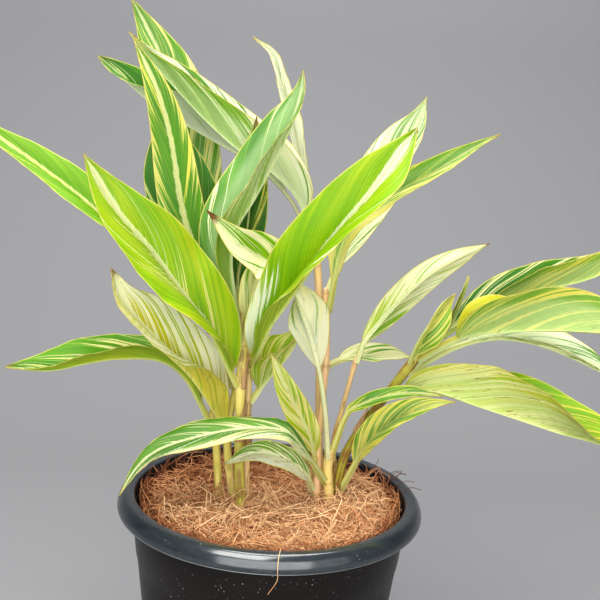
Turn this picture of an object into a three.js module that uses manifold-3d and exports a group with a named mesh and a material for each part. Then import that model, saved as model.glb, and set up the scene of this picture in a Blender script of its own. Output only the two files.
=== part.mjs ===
// A variegated shell ginger in a nursery pot. Millimetres, +Z up, origin at the middle of the pot's base,
// +X towards the right-hand side of the plant and -Y towards its front.
import * as THREE from "three";
import { mergeVertices } from "three/addons/utils/BufferGeometryUtils.js";
import Module from "manifold-3d";

// Driving dimensions
const GAP = 0.3; // clearance between neighbouring pieces
const POT = {
  rimRadius: 125,
  mouthRadius: 111,
  neckRadius: 113, // outside, just under the rim
  baseRadius: 89,
  wall: 2.5,
  corner: 3, // bevel between base and wall
  sides: 40,
};
// The rim's outline from its lower outer edge over the top: distance inside the rim's radius, and height
const RIM = [[3.5, 199.8], [0.8, 201.6], [0, 205], [1.4, 210], [4, 213.6], [7, 215], [12.4, 214.4], [14, 213]];
const RIM_FOOT = 199;
const DRAIN = { count: 8, radius: 6, ring: 70, sides: 10 };
const MIX_TOP = 178;
const COIR = {
  level: 191, // height of the bed in the middle
  bank: 2, // rise from the middle to the wall
  roughness: 1.1,
  tufts: [30, 11], // lengths of the large and small unevenness
  rings: 6,
  sectors: 32,
};
const STRAND = {
  count: 20,
  radius: 0.9,
  lengths: [22, 46],
  rises: [5, 12], // least and greatest height of the arch over the bed
  depth: 3, // of both ends in the bed
  reach: 98, // from the middle of the pot
  clearance: 12, // from the middle of a cane
  steps: 5,
  sides: 4,
};
const CANE = {
  foot: 166, // height of every lower end, inside the mix
  sides: 8,
  stepLength: 20,
  sheath: 0.25, // height of the step where a leaf sheath ends
  taper: 0.82, // radius at the top, as a share of the radius at the foot
  tip: 0.6, // further share at the very top
};
const RHIZOME = { radius: 11, steps: 8, taper: 0.9, knob: 0.08, knobs: 3 };
const BLADE = {
  thickness: 0.8,
  keel: [3.6, 1.8, 0.5], // depth of the midrib at the foot, in the middle and at the tip
  stalkHalfWidth: 2.6,
  tipHalfWidth: 0.6,
  widestAt: 0.45,
  fullness: 1.7,
  arch: 22, // degrees that each half bends between midrib and margin
  tight: 40, // degrees short of a closed fold at which a half starts to lie flatter
  waves: 3,
  foot: 0.6, // start of the midrib inside the cane, as a share of its radius
  stepLength: 23,
  fewestSteps: 7,
};
// Points across each half of a blade: distance from the midrib as a share of the half's width, share of the
// wave, and share of the midrib's depth
const ACROSS = [
  { reach: 0.5, ripple: 0.3, depth: 0.6 },
  { reach: 1, ripple: 1, depth: 0 },
];
// The direction from which the turn of a leaf is counted
const FRONT = new THREE.Vector3(0, -0.97, 0.24).normalize();

// Canes: the radius at the foot, and the points that the middle line passes through above the mulch
const CANES = {
  left_cane_1: { radius: 3.8, path: [[-43, 6, 197], [-47, 7, 244], [-52, 8, 280]] },
  left_cane_2: { radius: 3.8, path: [[-30, -2, 198], [-38, -1, 256], [-33, 1, 303]] },
  left_cane_3: { radius: 4.2, path: [[-23, -20, 198], [-27, -18, 246], [-29, -14, 307], [-29, -8, 375]] },
  left_cane_4: { radius: 3.2, path: [[-20, -6, 197], [-22, -4, 259], [-23, -2, 296], [-24, 1, 333]] },
  right_cane_1: {
    radius: 3.6,
    path: [[38, 2, 203], [37, 6, 250], [38, 11, 291], [39, 16, 333], [35, 21, 384]],
  },
  right_cane_2: {
    radius: 3.6,
    path: [[43, 18, 201], [38, 22, 253], [33, 30, 346], [28, 36, 396], [20, 42, 449]],
  },
  right_cane_3: { radius: 4.6, path: [[49, 6, 204], [46, 4, 234], [47, 2, 253]] },
  right_cane_4: {
    radius: 2.4,
    path: [[58, 28, 198], [51, 28, 247], [56, 26, 279], [61, 23, 307], [65, 21, 328]],
  },
  right_cane_5: {
    radius: 4.4,
    path: [
      [55, 14, 205], [56, 12, 222], [60, 8, 246], [70, 2, 270], [83, -6, 295], [94, -14, 315],
      [102, -19, 330], [118, -24, 357],
    ],
  },
};

// Leaves: the cane and the height that each springs from, its width, the length of its stalk as a share of the
// whole, the height of its waves, the turn of its upper face from the front and the fold of its halves, both in
// degrees and spread evenly from foot to tip, and the points that its midrib passes through.
const LEAVES = {
  left_leaf_01: {
    cane: "left_cane_4", height: 315, width: 40, stalk: 0.12, wave: 1.5,
    turn: [50, 45, 20], fold: [30, 30, 25],
    rib: [[-53, 6, 342], [-106, -2, 400], [-160, 2, 445], [-196, 8, 469], [-229, 14, 489], [-261, 20, 510]],
  },
  left_leaf_02: {
    cane: "left_cane_3", height: 307, width: 66, stalk: 0.06, wave: 2.5,
    turn: [56, 48, 31, 25, 13], fold: [62, 52, 35, 31, 27],
    rib: [[-52, -32, 352], [-76, -47, 386], [-98, -60, 418], [-120, -70, 445], [-144, -77, 485]],
  },
  left_leaf_03: {
    cane: "left_cane_2", height: 264, width: 64, stalk: 0, wave: 1, widestAt: 0.5,
    turn: [78, 71, 49, 44, 40], fold: [78, 74, 49, 44, 40],
    rib: [
      [-52, -3, 284], [-69, -15, 313], [-89, -28, 336], [-107, -40, 358], [-120, -49, 378],
      [-127, -52, 401],
    ],
  },
  left_leaf_04: {
    cane: "left_cane_1", height: 266, width: 46, stalk: 0.08, wave: 1, widestAt: 0.56,
    turn: [70, 70, 55], fold: [50, 45, 35],
    rib: [
      [-74, 14, 301], [-95, 4, 319], [-126, -8, 322], [-148, -22, 321], [-175, -36, 317], [-205, -50, 321],
    ],
  },
  left_leaf_05: {
    cane: "left_cane_4", height: 329, width: 56, stalk: 0.34, wave: 1.5,
    turn: [0], fold: [40, 15, 15],
    rib: [
      [-57, 40, 371], [-71, 62, 433], [-86, 80, 487], [-102, 92, 535], [-121, 98, 573], [-144, 100, 612],
    ],
  },
  left_leaf_06: {
    cane: "left_cane_2", height: 300, width: 38, stalk: 0.15, wave: 1.2,
    turn: [0], fold: [40, 22, 22],
    rib: [[-55, -5, 372], [-79, -10, 437], [-92, -14, 500], [-104, -18, 536], [-123, -12, 571]],
  },
  left_leaf_07: {
    cane: "left_cane_3", height: 339, width: 60, stalk: 0.15, wave: 1.2,
    turn: [-48, -50, -52, -45, -25], fold: [58, 58, 56, 50, 35],
    rib: [
      [-38, -18, 376], [-42, -23, 407], [-39, -25, 432], [-27, -22, 455], [-14, -14, 482], [-2, -8, 511],
      [5, -3, 534], [6, 0, 555],
    ],
  },
  left_leaf_08: {
    cane: "left_cane_4", height: 321, width: 62, stalk: 0.06, wave: 2, widestAt: 0.52,
    turn: [-51, -49, -42, -25, -5], fold: [61, 57, 50, 37, 20],
    rib: [
      [-16, -28, 342], [-8, -42, 364], [9, -58, 394], [25, -72, 423], [42, -78, 448], [60, -76, 472],
      [89, -62, 517],
    ],
  },
  left_leaf_09: {
    cane: "left_cane_3", height: 357, width: 32, stalk: 0.12, wave: 1,
    turn: [0], fold: [30, 20, 20],
    rib: [[-36, 0, 389], [-31, 2, 426], [-29, 3, 469], [-28, 4, 518]],
  },
  left_leaf_10: {
    cane: "left_cane_1", height: 278, width: 62, stalk: 0.25, wave: 1.5, widestAt: 0.55,
    turn: [0], fold: [40, 15, 15],
    rib: [[-54, 26, 367], [-68, 27, 404], [-82, 26, 442], [-94, 24, 480], [-103, 22, 520]],
  },
  left_leaf_11: {
    cane: "left_cane_4", height: 290, width: 52, stalk: 0.16, wave: 0.8,
    turn: [-72, -72, -55], fold: [62, 62, 45],
    rib: [[-11, -2, 306], [2, -8, 324], [11, -14, 341], [15, -18, 358]],
  },
  left_leaf_12: {
    cane: "left_cane_3", height: 354, width: 26, stalk: 0.15, wave: 0.8,
    turn: [0], fold: [45, 35, 35],
    rib: [[-25, -22, 374], [-22, -19, 392], [-17, -17, 407], [-12, -16, 420]],
  },
  right_leaf_01: {
    cane: "right_cane_2", height: 426, width: 62, stalk: 0.08, wave: 1.2, widestAt: 0.38,
    turn: [68, 68, 66, 58], fold: [72, 74, 70, 58],
    rib: [
      [10, 38, 450], [-3, 36, 465], [-23, 35, 480], [-43, 34, 491], [-68, 32, 511], [-91, 28, 533],
      [-115, 22, 558], [-131, 18, 577],
    ],
  },
  right_leaf_02: {
    cane: "right_cane_2", height: 399, width: 52, stalk: 0.25, wave: 1, widestAt: 0.55,
    turn: [88, 87, 86, 78, 60, 18], fold: [72, 75, 76, 78, 60, 22],
    rib: [
      [8, 56, 441], [-13, 60, 465], [-40, 60, 483], [-76, 58, 501], [-115, 50, 523], [-137, 42, 541],
      [-158, 36, 558],
    ],
  },
  right_leaf_03: {
    cane: "right_cane_2", height: 446, width: 32, stalk: 0.1, wave: 0.5,
    turn: [0], fold: [68],
    rib: [[10, 58, 481], [0, 64, 517], [-10, 66, 545], [-20, 68, 569], [-37, 70, 583]],
  },
  right_leaf_04: {
    cane: "right_cane_1", height: 364, width: 30, stalk: 0.12, wave: 1,
    turn: [-15, -18, -21], fold: [45, 42, 41],
    rib: [[47, 4, 426], [75, -12, 461], [106, -26, 483], [136, -34, 505], [153, -38, 516]],
  },
  right_leaf_05: {
    cane: "right_cane_1", height: 380, width: 56, stalk: 0.1, wave: 1.5,
    turn: [-27], fold: [32],
    rib: [[48, 38, 411], [62, 44, 435], [76, 48, 464], [88, 52, 491], [103, 56, 520], [110, 60, 543]],
  },
  right_leaf_06: {
    cane: "right_cane_3", height: 246, width: 44, stalk: 0.35, wave: 1,
    turn: [180, 180, 165, 18, 16], fold: [20, 20, 22, 18, 24],
    rib: [
      [40, -12, 286], [32, -27, 327], [19, -36, 368], [4, -35, 397], [-17, -36, 413], [-36, -49, 426],
      [-58, -59, 449],
    ],
  },
  right_leaf_07: {
    cane: "right_cane_1", height: 229, width: 24, stalk: 0.2, wave: 0.8,
    turn: [0], fold: [40, 25, 25],
    rib: [[30, -20, 267], [17, -34, 295], [6, -46, 318], [-6, -56, 345]],
  },
  right_leaf_08: {
    cane: "right_cane_3", height: 223, width: 30, stalk: 0.15, wave: 1.5,
    turn: [25, 66, 68, 54, 45, 45, 45], fold: [45, 4, -6, 4, 12, 12, 12],
    rib: [
      [19, -44, 273], [3, -56, 286], [-26, -54, 284], [-57, -51, 275], [-87, -48, 262], [-104, -46, 246],
      [-118, -44, 221],
    ],
  },
  right_leaf_09: {
    cane: "right_cane_1", height: 213, width: 24, stalk: 0.15, wave: 1,
    turn: [40], fold: [30, 15, 15],
    rib: [[28, -10, 233], [10, -22, 250], [-14, -34, 258], [-39, -42, 250]],
  },
  right_leaf_10: {
    cane: "right_cane_4", height: 322, width: 27, stalk: 0.1, wave: 1,
    turn: [180], fold: [20],
    rib: [[70, 24, 339], [82, 28, 356], [100, 34, 377], [124, 40, 399], [151, 46, 415], [172, 50, 425]],
  },
  right_leaf_11: {
    cane: "right_cane_1", height: 320, width: 26, stalk: 0.2, wave: 0.5,
    turn: [-45], fold: [30],
    rib: [[52, 30, 322], [69, 36, 324], [93, 42, 324], [114, 46, 324]],
  },
  right_leaf_12: {
    cane: "right_cane_5", height: 333, width: 28, stalk: 0.15, wave: 0.8,
    turn: [35, 35, 35], fold: [45, 45, 45],
    rib: [[108, -34, 355], [114, -39, 370], [122, -35, 385], [133, -28, 393]],
  },
  right_leaf_13: {
    cane: "right_cane_5", height: 356, width: 14, stalk: 0.1, wave: 0,
    turn: [-18, -18], fold: [80, 80],
    rib: [[131, -19, 366], [140, -18, 390], [144, -17, 406]],
  },
  right_leaf_14: {
    cane: "right_cane_5", height: 339, width: 76, stalk: 0.22, wave: 1.5, widestAt: 0.36,
    turn: [-48, -52, -55, -92, -102, -106, -106, -102], fold: [58, 56, 57, 38, 46, 56, 56, 56],
    rib: [
      [129, -42, 359], [144, -52, 368], [162, -62, 373], [192, -74, 378], [228, -86, 381], [274, -94, 379],
    ],
  },
  right_leaf_15: {
    cane: "right_cane_5", height: 326, width: 40, stalk: 0.3, wave: 1.2,
    turn: [-58, -58], fold: [30, 30],
    rib: [[133, -26, 350], [167, -28, 361], [204, -34, 358], [246, -42, 343], [266, -46, 333]],
  },
  right_leaf_16: {
    cane: "right_cane_5", height: 310, width: 70, stalk: 0.04, wave: 1.5, widestAt: 0.42,
    turn: [-98, -102, -89, -70, -48, -48], fold: [52, 56, 69, 70, 48, 48],
    rib: [
      [120, -26, 315], [157, -44, 309], [185, -58, 305], [213, -68, 300], [241, -76, 296], [273, -84, 287],
    ],
  },
  right_leaf_17: {
    cane: "right_cane_5", height: 352, width: 46, stalk: 0.1, wave: 1.2,
    turn: [-42, -45, -70, -85, -82], fold: [48, 50, 70, 70, 68],
    rib: [[130, -8, 357], [149, -2, 370], [175, 4, 385], [208, 10, 394], [257, 16, 409], [311, 22, 445]],
  },
  right_leaf_18: {
    cane: "right_cane_3", height: 250, width: 15, stalk: 0.3, wave: 0.8,
    turn: [-35], fold: [25],
    rib: [[57, -13, 287], [67, -20, 298], [83, -28, 308], [105, -36, 315], [128, -40, 315]],
  },
  right_leaf_19: {
    cane: "right_cane_5", height: 211, width: 32, stalk: 0.22, wave: 0.8,
    turn: [-32], fold: [44],
    rib: [[67, 2, 239], [73, -6, 256], [82, -18, 274], [95, -34, 292], [114, -50, 308], [134, -60, 317]],
  },
};

// Rhizomes: the points that the middle line of each runs through under its clump
const RHIZOMES = {
  left_rhizome: [[-56, 14, 158], [-38, 2, 160], [-22, -14, 158], [-12, -26, 156]],
  right_rhizome: [[32, -6, 157], [44, 8, 160], [58, 22, 159], [70, 36, 156]],
};

const MATERIALS = {
  plastic: { color: 0x1c1e22, roughness: 0.45 },
  mix: { color: 0x3a2a1e, roughness: 1 },
  coir: { color: 0xb87f4a, roughness: 0.95 },
  rhizome: { color: 0xcaa27a, roughness: 0.8 },
  cane: { color: 0xd9c485, roughness: 0.5 },
  leaf: { color: 0x7fae2c, roughness: 0.45 },
};

const wasm = await Module();
wasm.setup();

const DEG = Math.PI / 180;
const TURN = 2 * Math.PI;
const vector = (point) => new THREE.Vector3(...point);
const clamp01 = (x) => Math.min(1, Math.max(0, x));
const blend = (a, b, t) => a + (b - a) * t;

// A value read from a list that is spread evenly over 0 to 1.
function along(list, u) {
  if (list.length === 1) return list[0];
  const at = u * (list.length - 1);
  const i = Math.min(Math.floor(at), list.length - 2);
  return blend(list[i], list[i + 1], at - i);
}

// Repeatable random numbers from 0 to 1.
function seeded(seed) {
  let state = seed;
  return () => {
    state = (Math.imul(state, 1664525) + 1013904223) >>> 0;
    return state / 2 ** 32;
  };
}

function geometryFrom(positions, index) {
  const geometry = new THREE.BufferGeometry();
  geometry.setAttribute("position", new THREE.Float32BufferAttribute(positions, 3));
  geometry.setIndex(index);
  return geometry;
}

// A geometry as a manifold solid, and a solid as a geometry.
function solid(geometry) {
  const bare = geometry.clone();
  bare.deleteAttribute("normal");
  bare.deleteAttribute("uv");
  const merged = mergeVertices(bare, 1e-4);
  const vertProperties = merged.attributes.position.array;
  const triVerts = new Uint32Array(merged.index.array);
  return new wasm.Manifold(new wasm.Mesh({ numProp: 3, vertProperties, triVerts }));
}

function geometryOf(body) {
  const { vertProperties, triVerts } = body.getMesh();
  return geometryFrom(vertProperties, [...triVerts]);
}

function largest(body) {
  const parts = body.decompose();
  return parts.sort((a, b) => b.volume() - a.volume())[0];
}

function lathe(outline, sides) {
  const points = outline.map(([radius, z]) => new THREE.Vector2(radius, z));
  return new THREE.LatheGeometry(points, sides).rotateX(90 * DEG);
}

// A closed skin over rings with the same number of points. Each ring goes round anticlockwise as seen from the
// last ring, and both ends are closed by strips from one half of the ring to the other.
function loft(rings) {
  const n = rings[0].length;
  const index = [];
  for (let k = 0; k + 1 < rings.length; k++) {
    for (let i = 0; i < n; i++) {
      const a = k * n + i;
      const b = k * n + ((i + 1) % n);
      // The lower half mirrors the upper one, so that both faces of a blade are split along the same diagonal.
      if (i < n / 2) index.push(a, b, a + n, b, b + n, a + n);
      else index.push(a, b, b + n, a, b + n, a + n);
    }
  }
  const last = (rings.length - 1) * n;
  for (let i = 0; i < n / 2 - 1; i++) {
    const j = n - 1 - i;
    index.push(i, j, i + 1, i + 1, j, j - 1);
    index.push(last + i, last + i + 1, last + j, last + i + 1, last + j - 1, last + j);
  }
  const positions = rings.flat().flatMap((p) => p.toArray());
  return geometryFrom(positions, index);
}

const curveThrough = (points) => new THREE.CatmullRomCurve3(points, false, "catmullrom", 0.5);

// A point on a curve, and the directions across it, level with the front, and towards the front.
function crossFrame(curve, u) {
  const ahead = curve.getTangentAt(u);
  const side = ahead.clone().cross(FRONT).normalize();
  const face = side.clone().cross(ahead);
  return { at: curve.getPointAt(u), side, face };
}

// A round stem along a curve, with its radius given by a function of u.
function stem(curve, radiusAt, steps, sides) {
  const rings = [];
  for (let k = 0; k <= steps; k++) {
    const u = k / steps;
    const { at, side, face } = crossFrame(curve, u);
    const ring = [];
    for (let i = 0; i < sides; i++) {
      const angle = (TURN * (i + 0.5)) / sides;
      const outwards = side.clone().multiplyScalar(-Math.cos(angle)).addScaledVector(face, Math.sin(angle));
      ring.push(at.clone().addScaledVector(outwards, radiusAt(u)));
    }
    rings.push(ring);
  }
  return solid(loft(rings));
}

// Pot
function outsideRadius(z) {
  return blend(POT.baseRadius, POT.neckRadius, z / RIM_FOOT);
}

function insideRadius(z) {
  return Math.min(outsideRadius(z) - POT.wall, POT.mouthRadius);
}

function pot() {
  const { rimRadius, mouthRadius, neckRadius, baseRadius, wall, corner, sides } = POT;
  const floorEdge = 2 * corner;
  const outline = [
    [0, 0],
    [baseRadius - corner, 0],
    [baseRadius, corner],
    [neckRadius, RIM_FOOT],
    ...RIM.map(([inside, z]) => [rimRadius - inside, z]),
    [mouthRadius, RIM_FOOT],
    [insideRadius(floorEdge), floorEdge],
    [insideRadius(floorEdge) - corner, wall],
    [0, wall],
  ];
  let body = solid(lathe(outline, sides));
  for (let i = 0; i < DRAIN.count; i++) {
    const angle = (TURN * (i + 0.5)) / DRAIN.count;
    const hole = new THREE.CylinderGeometry(DRAIN.radius, DRAIN.radius, 4 * wall, DRAIN.sides);
    hole.rotateX(90 * DEG);
    hole.translate(DRAIN.ring * Math.cos(angle), DRAIN.ring * Math.sin(angle), wall / 2);
    body = body.subtract(solid(hole));
  }
  return body;
}

// The potting mix fills the pot up to the mulch.
function pottingMix() {
  const floorEdge = 2 * POT.corner;
  const outline = [
    [0, POT.wall + GAP],
    [insideRadius(floorEdge) - POT.corner - GAP, POT.wall + GAP],
    [insideRadius(floorEdge) - GAP, floorEdge + GAP],
    [insideRadius(MIX_TOP) - GAP, MIX_TOP],
    [0, MIX_TOP],
  ];
  return solid(lathe(outline, POT.sides));
}

// Canes
function caneCurve(name) {
  const path = CANES[name].path.map(vector);
  return curveThrough([path[0].clone().setZ(CANE.foot), ...path]);
}

// A cane, grown all round by an extra radius for the hole that it stands in.
function cane(name, extra = 0) {
  const { radius } = CANES[name];
  const curve = caneCurve(name);
  const steps = Math.round(curve.getLength() / CANE.stepLength);
  const radiusAt = (u) => {
    const sheath = (CANE.sheath * ((u * steps) % 3)) / 3;
    const tip = u === 1 ? CANE.tip : 1;
    return radius * tip * blend(1, CANE.taper, u) - sheath + extra;
  };
  return stem(curve, radiusAt, steps, CANE.sides);
}

// The point at a height on the middle line of a cane.
function onCane(name, height) {
  const curve = caneCurve(name);
  let [low, high] = [0, 1];
  for (let i = 0; i < 30; i++) {
    const middle = (low + high) / 2;
    if (curve.getPointAt(middle).z < height) low = middle;
    else high = middle;
  }
  return curve.getPointAt(low);
}

function bedded(body) {
  let cut = body;
  for (const name of Object.keys(CANES)) cut = cut.subtract(cane(name, GAP));
  return cut;
}

// Rhizomes: knobbly underground stems
function rhizome(name, extra = 0) {
  const { radius, steps, taper, knob, knobs } = RHIZOME;
  const radiusAt = (u) => {
    const barrel = Math.sqrt(1 - (taper * (2 * u - 1)) ** 2);
    return radius * barrel * (1 + knob * Math.cos(TURN * knobs * u)) + extra;
  };
  return stem(curveThrough(RHIZOMES[name].map(vector)), radiusAt, steps, CANE.sides);
}

// Leaves

// The midrib of a leaf, from inside its cane to its tip.
function ribCurve(leaf) {
  const rib = leaf.rib.map(vector);
  const foot = onCane(leaf.cane, leaf.height);
  const away = rib[0].clone().sub(foot).setZ(0).normalize();
  foot.addScaledVector(away, BLADE.foot * CANES[leaf.cane].radius);
  return curveThrough([foot, ...rib]);
}

// Outline of a blade: 0 at both ends, 1 where it is widest.
function bladeShape(v, widestAt) {
  const rise = (v / widestAt) ** (BLADE.fullness * widestAt);
  const fall = ((1 - v) / (1 - widestAt)) ** (BLADE.fullness * (1 - widestAt));
  return rise * fall;
}

// The cross-section of a leaf at u: ten points, the upper face from left to right and the lower face back.
function leafRing(leaf, curve, u) {
  const { at, side, face } = crossFrame(curve, u);
  const turn = along(leaf.turn, u) * DEG;
  const across = side.clone().multiplyScalar(Math.cos(turn)).addScaledVector(face, -Math.sin(turn));
  const upper = face.clone().multiplyScalar(Math.cos(turn)).addScaledVector(side, Math.sin(turn));
  const point = (x, z) => at.clone().addScaledVector(across, x).addScaledVector(upper, z);

  const v = clamp01((u - leaf.stalk) / (1 - leaf.stalk));
  const blade = bladeShape(v, leaf.widestAt ?? BLADE.widestAt);
  const half = Math.max((blade * leaf.width) / 2, blend(BLADE.stalkHalfWidth, BLADE.tipHalfWidth, u));
  const keel = along(BLADE.keel, u);
  const fold = along(leaf.fold, u) * DEG;
  const loose = clamp01((90 * DEG - fold) / (BLADE.tight * DEG));
  const bend = (BLADE.arch * DEG * blade * loose) / 2;
  const inner = { cos: Math.cos(fold + bend), sin: Math.sin(fold + bend) };
  const outer = { cos: Math.cos(fold - bend), sin: Math.sin(fold - bend) };

  const top = [point(0, 0)];
  const bottom = [point(0, -Math.max(BLADE.thickness, keel))];
  for (const { reach, ripple, depth } of ACROSS) {
    const down = Math.max(BLADE.thickness, depth * keel);
    for (const sign of [-1, 1]) {
      const wave = ripple * leaf.wave * blade * Math.sin(TURN * BLADE.waves * u + sign);
      const x = (inner.cos / 2 + outer.cos * (reach - 0.5)) * half - outer.sin * wave;
      const z = (inner.sin / 2 + outer.sin * (reach - 0.5)) * half + outer.cos * wave;
      const add = sign < 0 ? "unshift" : "push";
      top[add](point(sign * x, z));
      bottom[add](point(sign * (x + outer.sin * down), z - outer.cos * down));
    }
  }
  return [...top, ...bottom.reverse()];
}

function leafSolid(leaf) {
  const curve = ribCurve(leaf);
  const steps = Math.max(BLADE.fewestSteps, Math.round(curve.getLength() / BLADE.stepLength));
  const rings = [];
  for (let k = 0; k <= steps; k++) rings.push(leafRing(leaf, curve, k / steps));
  return largest(solid(loft(rings)).subtract(cane(leaf.cane, GAP)));
}

// Coir mulch: a dished bed with a rough top, and wiry strands that arch out of it
function coirHeight(x, y) {
  const reach = Math.hypot(x, y) / POT.mouthRadius;
  const [large, small] = COIR.tufts.map((length) => TURN / length);
  const rough = Math.sin(large * x + Math.sin(large * y)) * Math.cos(large * y) + Math.sin(small * (x - y));
  return COIR.level + COIR.bank * reach * reach + COIR.roughness * rough;
}

function coirBed() {
  const { rings, sectors } = COIR;
  const floor = MIX_TOP + GAP;
  const [top, bottom] = [0, 1];
  const positions = [0, 0, coirHeight(0, 0), 0, 0, floor];
  const around = (k, i) => 2 + k * sectors + (i % sectors);
  const addRing = (radius, offset, heightAt) => {
    for (let i = 0; i < sectors; i++) {
      const angle = (TURN * (i + offset)) / sectors;
      const [x, y] = [radius * Math.cos(angle), radius * Math.sin(angle)];
      positions.push(x, y, heightAt(x, y));
    }
  };
  for (let k = 1; k <= rings; k++) {
    addRing(((insideRadius(COIR.level) - 2 * GAP) * k) / rings, 0, coirHeight);
  }
  addRing(insideRadius(floor) - 2 * GAP, 0, () => floor);
  const index = [];
  for (let i = 0; i < sectors; i++) {
    index.push(top, around(0, i), around(0, i + 1));
    index.push(bottom, around(rings, i + 1), around(rings, i));
    for (let k = 0; k < rings; k++) {
      const [a, b] = [around(k, i), around(k, i + 1)];
      index.push(a, a + sectors, b, b, a + sectors, b + sectors);
    }
  }
  return solid(geometryFrom(positions, index));
}

// One strand: an arch from the bed up and back into it.
function strand(from, to, rise) {
  const high = Math.max(from.z, to.z) + rise;
  const shoulder = (t) => from.clone().lerp(to, t).setZ(high - rise / 4);
  const middle = from.clone().lerp(to, 0.5).setZ(high);
  const curve = curveThrough([from, shoulder(0.25), middle, shoulder(0.75), to]);
  return stem(curve, () => STRAND.radius, STRAND.steps, STRAND.sides);
}

function coirMulch() {
  const random = seeded(7);
  const feet = Object.keys(CANES).map((name) => onCane(name, COIR.level));
  const clear = (p) => feet.every((foot) => Math.hypot(p.x - foot.x, p.y - foot.y) > STRAND.clearance);
  const pointAt = (radius, angle) => new THREE.Vector3(radius * Math.cos(angle), radius * Math.sin(angle), 0);
  let body = coirBed();
  let made = 0;
  while (made < STRAND.count) {
    const from = pointAt(STRAND.reach * Math.sqrt(random()), TURN * random());
    const to = pointAt(blend(...STRAND.lengths, random()), TURN * random()).add(from);
    const rise = blend(...STRAND.rises, random());
    const free = [0, 0.25, 0.5, 0.75, 1].every((t) => clear(from.clone().lerp(to, t)));
    if (to.length() > STRAND.reach || !free) continue;
    for (const end of [from, to]) end.setZ(coirHeight(end.x, end.y) - STRAND.depth);
    body = body.add(strand(from, to, rise));
    made += 1;
  }
  return body;
}

// Assembly
const plant = new THREE.Group();
plant.name = "potted_variegated_shell_ginger";

function place(name, body, finish) {
  const material = new THREE.MeshStandardMaterial(MATERIALS[finish]);
  const mesh = new THREE.Mesh(geometryOf(body), material);
  mesh.name = name;
  plant.add(mesh);
}

place("pot", pot(), "plastic");
let mixBody = bedded(pottingMix());
for (const name of Object.keys(RHIZOMES)) {
  place(name, bedded(rhizome(name)), "rhizome");
  mixBody = mixBody.subtract(rhizome(name, GAP));
}
place("potting_mix", largest(mixBody), "mix");
place("coir_mulch", largest(bedded(coirMulch())), "coir");
for (const name of Object.keys(CANES)) place(name, cane(name), "cane");
for (const [name, leaf] of Object.entries(LEAVES)) place(name, leafSolid(leaf), "leaf");

export default plant;
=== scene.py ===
"""Looks of a variegated shell ginger in its nursery pot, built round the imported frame."""

import math
from types import SimpleNamespace

import bpy
import numpy as np
from mathutils import Matrix, Vector

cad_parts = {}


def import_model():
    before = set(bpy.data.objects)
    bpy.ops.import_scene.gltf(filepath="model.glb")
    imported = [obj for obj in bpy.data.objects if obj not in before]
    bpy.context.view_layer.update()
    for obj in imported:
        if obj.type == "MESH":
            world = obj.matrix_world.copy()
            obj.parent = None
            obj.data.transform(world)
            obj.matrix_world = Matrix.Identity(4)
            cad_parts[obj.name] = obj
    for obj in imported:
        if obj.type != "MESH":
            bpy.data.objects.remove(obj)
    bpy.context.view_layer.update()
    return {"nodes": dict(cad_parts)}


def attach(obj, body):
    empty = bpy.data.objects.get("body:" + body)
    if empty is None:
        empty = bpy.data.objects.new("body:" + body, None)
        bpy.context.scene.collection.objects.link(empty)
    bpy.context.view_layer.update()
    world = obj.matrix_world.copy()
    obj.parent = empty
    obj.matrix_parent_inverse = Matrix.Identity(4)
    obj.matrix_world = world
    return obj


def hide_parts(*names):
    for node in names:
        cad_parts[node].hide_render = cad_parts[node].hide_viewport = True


# Driving dimensions, in millimetres as the plant was measured; meshes are made in metres.
MM = 0.001
# The direction from the plant towards the viewer
FRONT = np.array([0, -0.97, 0.24]) / math.hypot(0.97, 0.24)
POT = {
    "rim_radius": 125,
    "mouth_radius": 111,
    "neck_radius": 113,
    "base_radius": 89,
    "wall": 2.5,
    "corner": 3,
    "step_under_rim": (0.8, 0.6),
    "sides": 160,
}
# The rim's outline from its lower outer edge over the top: distance inside the rim's radius, and height
RIM = [[3.5, 199.8], [0.8, 201.6], [0, 205], [1.4, 210], [4, 213.6], [7, 215], [12.4, 214.4], [14, 213]]
RIM_FOOT = 199
# The stacking step round the wall, from below: height, and distance inside the wall's slope
STEP = [[150, 0.7], [163, 0.7], [164.5, 0], [190, 0]]
# Drain holes: how many, their radius, the ring that they lie on and the heights that the drill spans
DRAIN = {"count": 8, "radius": 6, "ring": 70, "sides": 24, "span": (-5, 10)}
# Coir bed: its height in the middle, how far it rises to the wall, its tufts' height and their two sizes,
# its depth, its finer unevenness, the gap to the wall, the radii that loose fibres start between, how far
# above the bed that is, and the radius that they are kept inside
COIR = {
    "level": 191,
    "bank": 2,
    "roughness": 1.1,
    "tufts": (30, 11),
    "depth": 12,
    "grain": (-1.4, 0.6),
    "gap": 0.6,
    "loose": (4, 105),
    "lift": 1.5,
    "reach": 107,
}
# Layers of loose fibres: how many lie on a square metre, their length, radius and curl in metres, and the
# shade of the darkest, where 1 is the palest
COIR_LAYERS = [
    [48000, 0.058, 0.00034, 0.05, 0],
    [48000, 0.058, 0.00034, 0.05, 0],
    [48000, 0.058, 0.00034, 0.05, 0],
    [7000, 0.085, 0.0004, 0.075, 0.6],
]
# Fibres that stand against the wall on the right: how many, how many of them reach over the rim, the
# bearings in degrees that each kind stands between, the radius and height of the points that they pass, how
# many of those points a fibre that stays inside has, the fibres' radius, and the height above which they
# stray less
CLIMBERS = {
    "count": 64,
    "over": 7,
    "inside_bearings": (-42, 78),
    "over_bearings": (4, 34),
    "knots": [(92, 193), (101, 199), (107, 206), (109, 211), (118, 218), (125, 219)],
    "inside_knots": 3,
    "radius": 0.28,
    "steady_above": 208,
}
# The fibre that hangs over the front of the rim
HANGING_FIBRE = [
    [11, -98, 200], [10, -110, 214.5], [9, -118, 216], [8, -125, 211.5], [8, -127, 206], [8, -122.5, 196],
    [2, -119.5, 184],
]
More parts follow.
